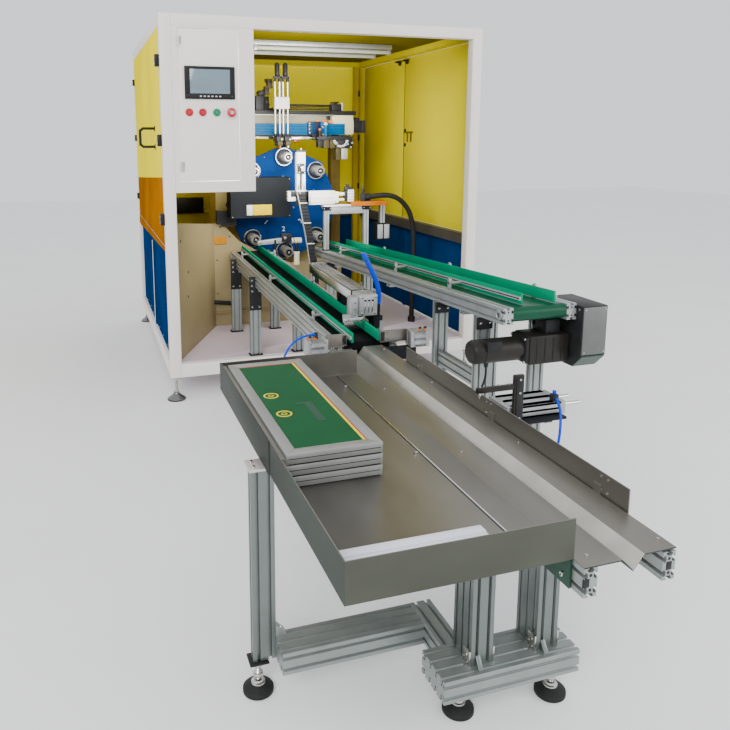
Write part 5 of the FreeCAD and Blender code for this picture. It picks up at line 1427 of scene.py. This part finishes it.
def outfeed_drive():
    """The outfeed's gearmotor and the cover over its chain."""
    unit = Shape()
    x, y, z = 905, -1585, 645
    bolt_circle, step = 26, 0.698
    unit.lathe((x, y, z), RIGHT, [(0, 0), (0, 34), (3, 40), (14, 45), (40, 45), (42, 43), (46, 43),
                                  (48, 45), (190, 45), (205, 44), (205, 0)], MOTOR)
    for k in range(9):
        bolt_y, bolt_z = y + bolt_circle * math.cos(k * step), z + bolt_circle * math.sin(k * step)
        unit.rod((x - 0.5, bolt_y, bolt_z), (x + 2.5, bolt_y, bolt_z), 4, DARK, sides=10)
    unit.block((950, -1635, 655), (1010, -1610, 690), BLACK, soft=3)
    unit.block((1108, -1636, 596), (1124, -1534, 696), BLACK, soft=5)
    unit.block((1122, -1640, 590), (1292, -1530, 700), MOTOR, soft=8)
    for corner_y in (-1628, -1542):
        for corner_z in (602, 688):
            unit.screw((1108, corner_y, corner_z), LEFT, 6, ZINC)
    for shift in (1150, 1185, 1220, 1255):
        unit.block((shift, -1642, 600), (shift + 5, -1638, 690), BLACK, soft=1)
    unit.block((1200, -1620, 700), (1260, -1550, 752), BLACK, soft=2)
    unit.lathe((975, -1585, 583), UP, [(0, 4.2), (0, 6.5), (3, 8), (12, 8), (14, 10), (24, 10), (24, 0)],
               DARK)
    outline = [(-1700, 625), (-1650, 575), (-1540, 575), (-1490, 625), (-1490, 812), (-1700, 812)]
    unit.prism(outline, 0, 1296, 1404, BLACK, soft=2.5)
    unit.block((1300, -1702, 630), (1400, -1698, 808), COVER_FACE, soft=1)
    unit.prism([(-1701, 621), (-1651, 573.5), (-1649, 575), (-1699, 624)], 0, 1300, 1400, GREEN_DARK)
    for corner_z in (640, 800):
        for cx in (1308, 1392):
            unit.screw((cx, -1701, corner_z), FRONT, 4, ZINC)
    for corner_y in (-1684, -1506):
        unit.screw((1296, corner_y, 798), LEFT, 5, ZINC)
        unit.screw((1404, corner_y, 798), RIGHT, 5, ZINC)
    for level in range(6):
        unit.block((1403, -1640, 640 + level * 14), (1405, -1550, 646 + level * 14), DARK, soft=0.5)
    unit.done("outfeed_drive_unit", "outfeed_drive")


# ---------------------------------------------------------------- loading table

def table():
    """The sheet steel tray, the folded chute beside it, and the slotted frame under both."""
    low, high = span("tray_table")
    # painted shade: the tray's left wall takes the stainless in shade, its front face the darker stainless
    dress("tray_table", BRUSHED, [
        ((low.x - 1, low.y, low.z), (low.x + 1, high.y, high.z), STEEL_SHADE),
        ((low.x, low.y - 1, low.z), (high.x, low.y + 1, high.z), STEEL_FRONT_SHADED)], soft=0.9)
    floor = low.z + 3
    bits = Shape()
    strip_y = low.y + 110
    bits.block((low.x + 4, strip_y, floor), (low.x + 352, strip_y + 20, floor + 2.2), STRIP, soft=0.8)
    bits.block((low.x + 4, strip_y + 20, floor), (low.x + 352, strip_y + 45, floor + 4.6), STRIP, soft=0.8)
    bits.block((low.x + 388, low.y + 4, floor - 0.4), (low.x + 390, high.y - 4, floor + 0.5), DARK, soft=0)
    bits.block((low.x + 391, low.y + 4, floor - 0.4), (low.x + 395, high.y - 4, floor + 1.1), STEEL,
               soft=0.4)
    bits.block((low.x - 2.2, high.y - 640, floor - 6), (low.x + 0.2, high.y, high.z + 1.5), STEEL_SHADE,
               soft=0.6)
    bits.block((low.x + 3, high.y - 735, floor), (low.x + 15, high.y - 20, high.z - 5), BRUSHED, soft=0.6)
    for y in (low.y + 520, high.y - 120):
        bits.screw((low.x + 380, y, floor - 0.5), UP, 6, STEEL)
    # an angle plate under the front right corner holds the tray to the rail
    bits.prism([(-2790, 563), (-2660, 563), (-2660, 623), (-2790, 623)], 0, 444, 449.5, GREEN_DARK,
               soft=0.8)
    for y in (-2770, -2680):
        bits.screw((444, y, 583), LEFT, 6, STEEL)
    bits.done("tray_fittings", "tray_table", stands=False)

    # the chute's right slope is painted lighter (wear and painted highlight), its left slope in the
    # stainless in shade
    dress("chute", BRUSHED, [
        ((563, -2900, 598), (586, -1300, 632), WORN_AND_LIT), ((537, -2900, 598), (561, -1300, 632), STEEL_SHADE)],
          soft=0.5)
    screws = Shape()
    for y in (-2620, -2130, -1680):
        for z in (640, 672):
            for step in (0, 22):
                screws.rod((665, y + step, z), (664, y + step, z), 3.2, STEEL, sides=14)
    for x in (480, 648):
        for y in (-2790, -2300, -1800, -1400):
            screws.screw((x, y, 629.5 if x > 600 else 625.5), UP, 4, STEEL)
    screws.done("chute_screws", "chute", stands=False)
    table_frame()
    screens()


def table_frame():
    """Slotted bars under the tray and the chute, with their end plates and feet's brackets."""
    bars = Shape()
    for low, high in solids("table_frame"):
        size = high - low
        if size.z < 10:
            bars.block(low, high, PALE_PINK, soft=1.5)
            for y in (high.y - 14, low.y + 14):
                bars.screw((low.x + 14, y, high.z - 1), UP, 6, ZINC)
        elif size.x > 400 and size.y > 150:
            # the cross beam and the short bridge to the base beam meet in an L
            bars.slotted((low.x, high.y - 90, low.z), (395, high.y, high.z), ALU_POST)
            bars.slotted((395, low.y, low.z), (455, high.y, high.z), ALU_POST)
        else:
            upright = size.z > 200
            if size.y > 800:
                # the hollow core of a long rail is open at its front end; a dark block there is painted
                # shade in the core
                core = (low + high) / 2
                bars.block((core.x - 8, low.y - 0.4, core.z - 10), (core.x + 8, low.y + 2, core.z + 10),
                           DARK, soft=2)
            bars.slotted((450 if size.y > 1500 and low.x < 450 else low.x, low.y, low.z), high,
                         ALUMINIUM if upright else ALU_POST)
    bars.lathe((432, -1490, 593), RIGHT, [(0, 4.2), (0, 7), (3, 8), (14, 8), (18, 7)], BLACK)
    bars.prism([(10, 155), (40, 155), (10, 185)], 1, -2220, -2190, CAST, soft=1)
    bars.screw((24, -2205, 167), (0.7, 0, 0.7), 6, ZINC)
    for x in (425, 490, 608, 673):
        bars.block((x, -2470, 155), (x + 5, -2440, 195), ZINC, soft=1.5)
        bars.screw((x + 2.5, -2455, 180), (1 if x in (490, 673) else -1, 0, 0), 6, ZINC)
    for x in (436, 619):
        bars.prism([(-2490, 155), (-2470, 155), (-2470, 182)], 0, x + 6, x + 18, ALUMINIUM, soft=1)
    for x, y in ((395, -2425), (650, -2445), (-65, -2205)):
        bars.block((x + 5, y - 25, 89), (x + 55, y + 25, 94), DARK, soft=1)
    bars.done("table_frame_slotted", "table_frame")


def screens():
    """A stack of framed print screens; the top one's mesh carries a plain sample stencil."""
    stack = Shape()
    found = solids("print_screens")
    bar = 28
    for low, high in found:
        in_low, in_high = Vector((low.x + bar, low.y + bar)), Vector((high.x - bar, high.y - bar))
        for outer, inner in ((low.x, in_low.x), (high.x, in_high.x)):
            stack.prism([(outer, low.y), (inner, in_low.y), (inner, in_high.y), (outer, high.y)], 2, low.z,
                        high.z, FRAME_ALU, soft=0.9)
        for outer, inner in ((low.y, in_low.y), (high.y, in_high.y)):
            stack.prism([(low.x, outer), (high.x, outer), (in_high.x, inner), (in_low.x, inner)], 2, low.z,
                        high.z, FRAME_ALU, soft=0.9)
        stack.block((in_low.x - 2, in_low.y - 2, high.z - 5.5),
                    (in_high.x + 2, in_high.y + 2, high.z - 3.5), MESH_GREEN, soft=0)
        # painted shade: dark strips for the shade in the extrusion's grooves and in the gap under each
        # frame
        for z, tall in ((low.z + 0.5, 2.2), ((low.z + high.z) / 2, 1.6)):
            stack.block((low.x + 6, low.y - 0.3, z), (high.x - 6, low.y + 1, z + tall), DARK, soft=0)
            stack.block((high.x - 1, low.y + 6, z), (high.x + 0.3, high.y - 6, z + tall), DARK, soft=0)
        for corner in (low.y + 8, high.y - 12):
            stack.block((low.x - 0.4, corner - 5, low.z + 2), (low.x + 3, corner + 2, low.z + 11),
                        INK_YELLOW, soft=1)
    low, high = found[-1]
    top, edge = high.z - 3.4, high.x - bar
    for x, wide, mat in ((edge - 3, 5, INK_RED), (edge - 9, 6, INK_YELLOW)):
        stack.block((x, low.y + 30, top - 0.4), (x + wide, high.y - 30, top + 0.5), mat, soft=0)
    stack.block((low.x + 30, high.y - 31, top - 0.4), (edge, high.y - 27, top + 0.4), INK_RED, soft=0)
    for y in (-1972, -2112):
        stack.lathe((66, y, top), UP, [(0, 17), (0.5, 17), (0.5, 21), (0, 21)], INK_YELLOW)
        stack.lathe((66, y, top), UP, [(0, 6), (0.5, 6), (0.5, 8), (0, 8)], INK_YELLOW)
    stack.block((136, -2185, top - 0.4), (158, -2045, top + 0.3), INK_GREEN, soft=0)
    stack.block((112, -2057, top - 0.4), (136, -2045, top + 0.3), INK_GREEN, soft=0)
    stack.done("print_screens_stack", "print_screens")


def ejector():
    """The cylinder on its plate beside the chute, and the slide that it moves."""
    stand = Shape()
    stand.block((662, -2122, 592), (930, -1995, 600), GREY, soft=1.5)
    ribbed_cylinder(stand, (740, -2100, 600), (940, -1995, 640), 0)
    for y in (-2090, -2047, -2005):
        stand.screw((752, y, 640), UP, 5, STEEL, GREY)
    for y in (-2075, -2020):
        stand.lathe((740, y, 620), LEFT, [(0, 11), (2, 11), (3, 9.5), (3, 6.1)], STEEL)
    stand.block((895, -2100, 640), (915, -2080, 662), DARK, soft=2)
    stand.rod((905, -2090, 662), (905, -2090, 672), 6, TUBE_BLUE, soft=1)
    stand.block((750, -2116, 600), (782, -2104, 742), MOTOR, soft=1.5)
    stand.block((756, -2119, 610), (776, -2115.5, 734), DARK, soft=1)
    stand.block((630, -2116, 700), (750, -2104, 716), MOTOR, soft=1.5)
    for x in (640, 700, 735):
        stand.screw((x, -2110, 716), UP, 4, STEEL, GREY)
    stand.rod((640, -2110, 684), (640, -2110, 700), 5, STEEL, soft=1)
    for z in (614, 690, 730):
        stand.screw((766, -2119, z), FRONT, 4, STEEL, GREY)
    stand.lathe((760, -2050, 574), RIGHT, [(0, 0), (0, 15), (3, 18), (20, 18), (22, 16.5), (140, 16.5),
                                           (142, 18), (162, 18), (165, 16), (165, 0)], DARK)
    stand.rod((705, -2050, 574), (760, -2050, 574), 5, STEEL)
    stand.block((662, -2151, 563), (692, -2125, 592), DARK, soft=2)
    stand.rod((677, -2138, 555), (677, -2138, 565), 6, TUBE_BLUE, soft=1)
    stand.done("ejector_stand_unit", "ejector_stand")
    slide = Shape()
    for y in (-2075, -2020):
        slide.rod((698, y, 620), (1008, y, 620), 6, STEEL, soft=0.8)
        slide.rod((699, y, 620), (706, y, 620), 10, STEEL, sides=6, soft=1)
    slide.block((690, -2095, 606), (700, -2002, 634), STEEL, soft=1.2)
    slide.done("ejector_slide_unit", "ejector_slide")


cabinet()
feet()
control_box()
bed()
carousel()
print_head()
loader()
conveyors()
pneumatics()
outfeed_drive()
table()
ejector()
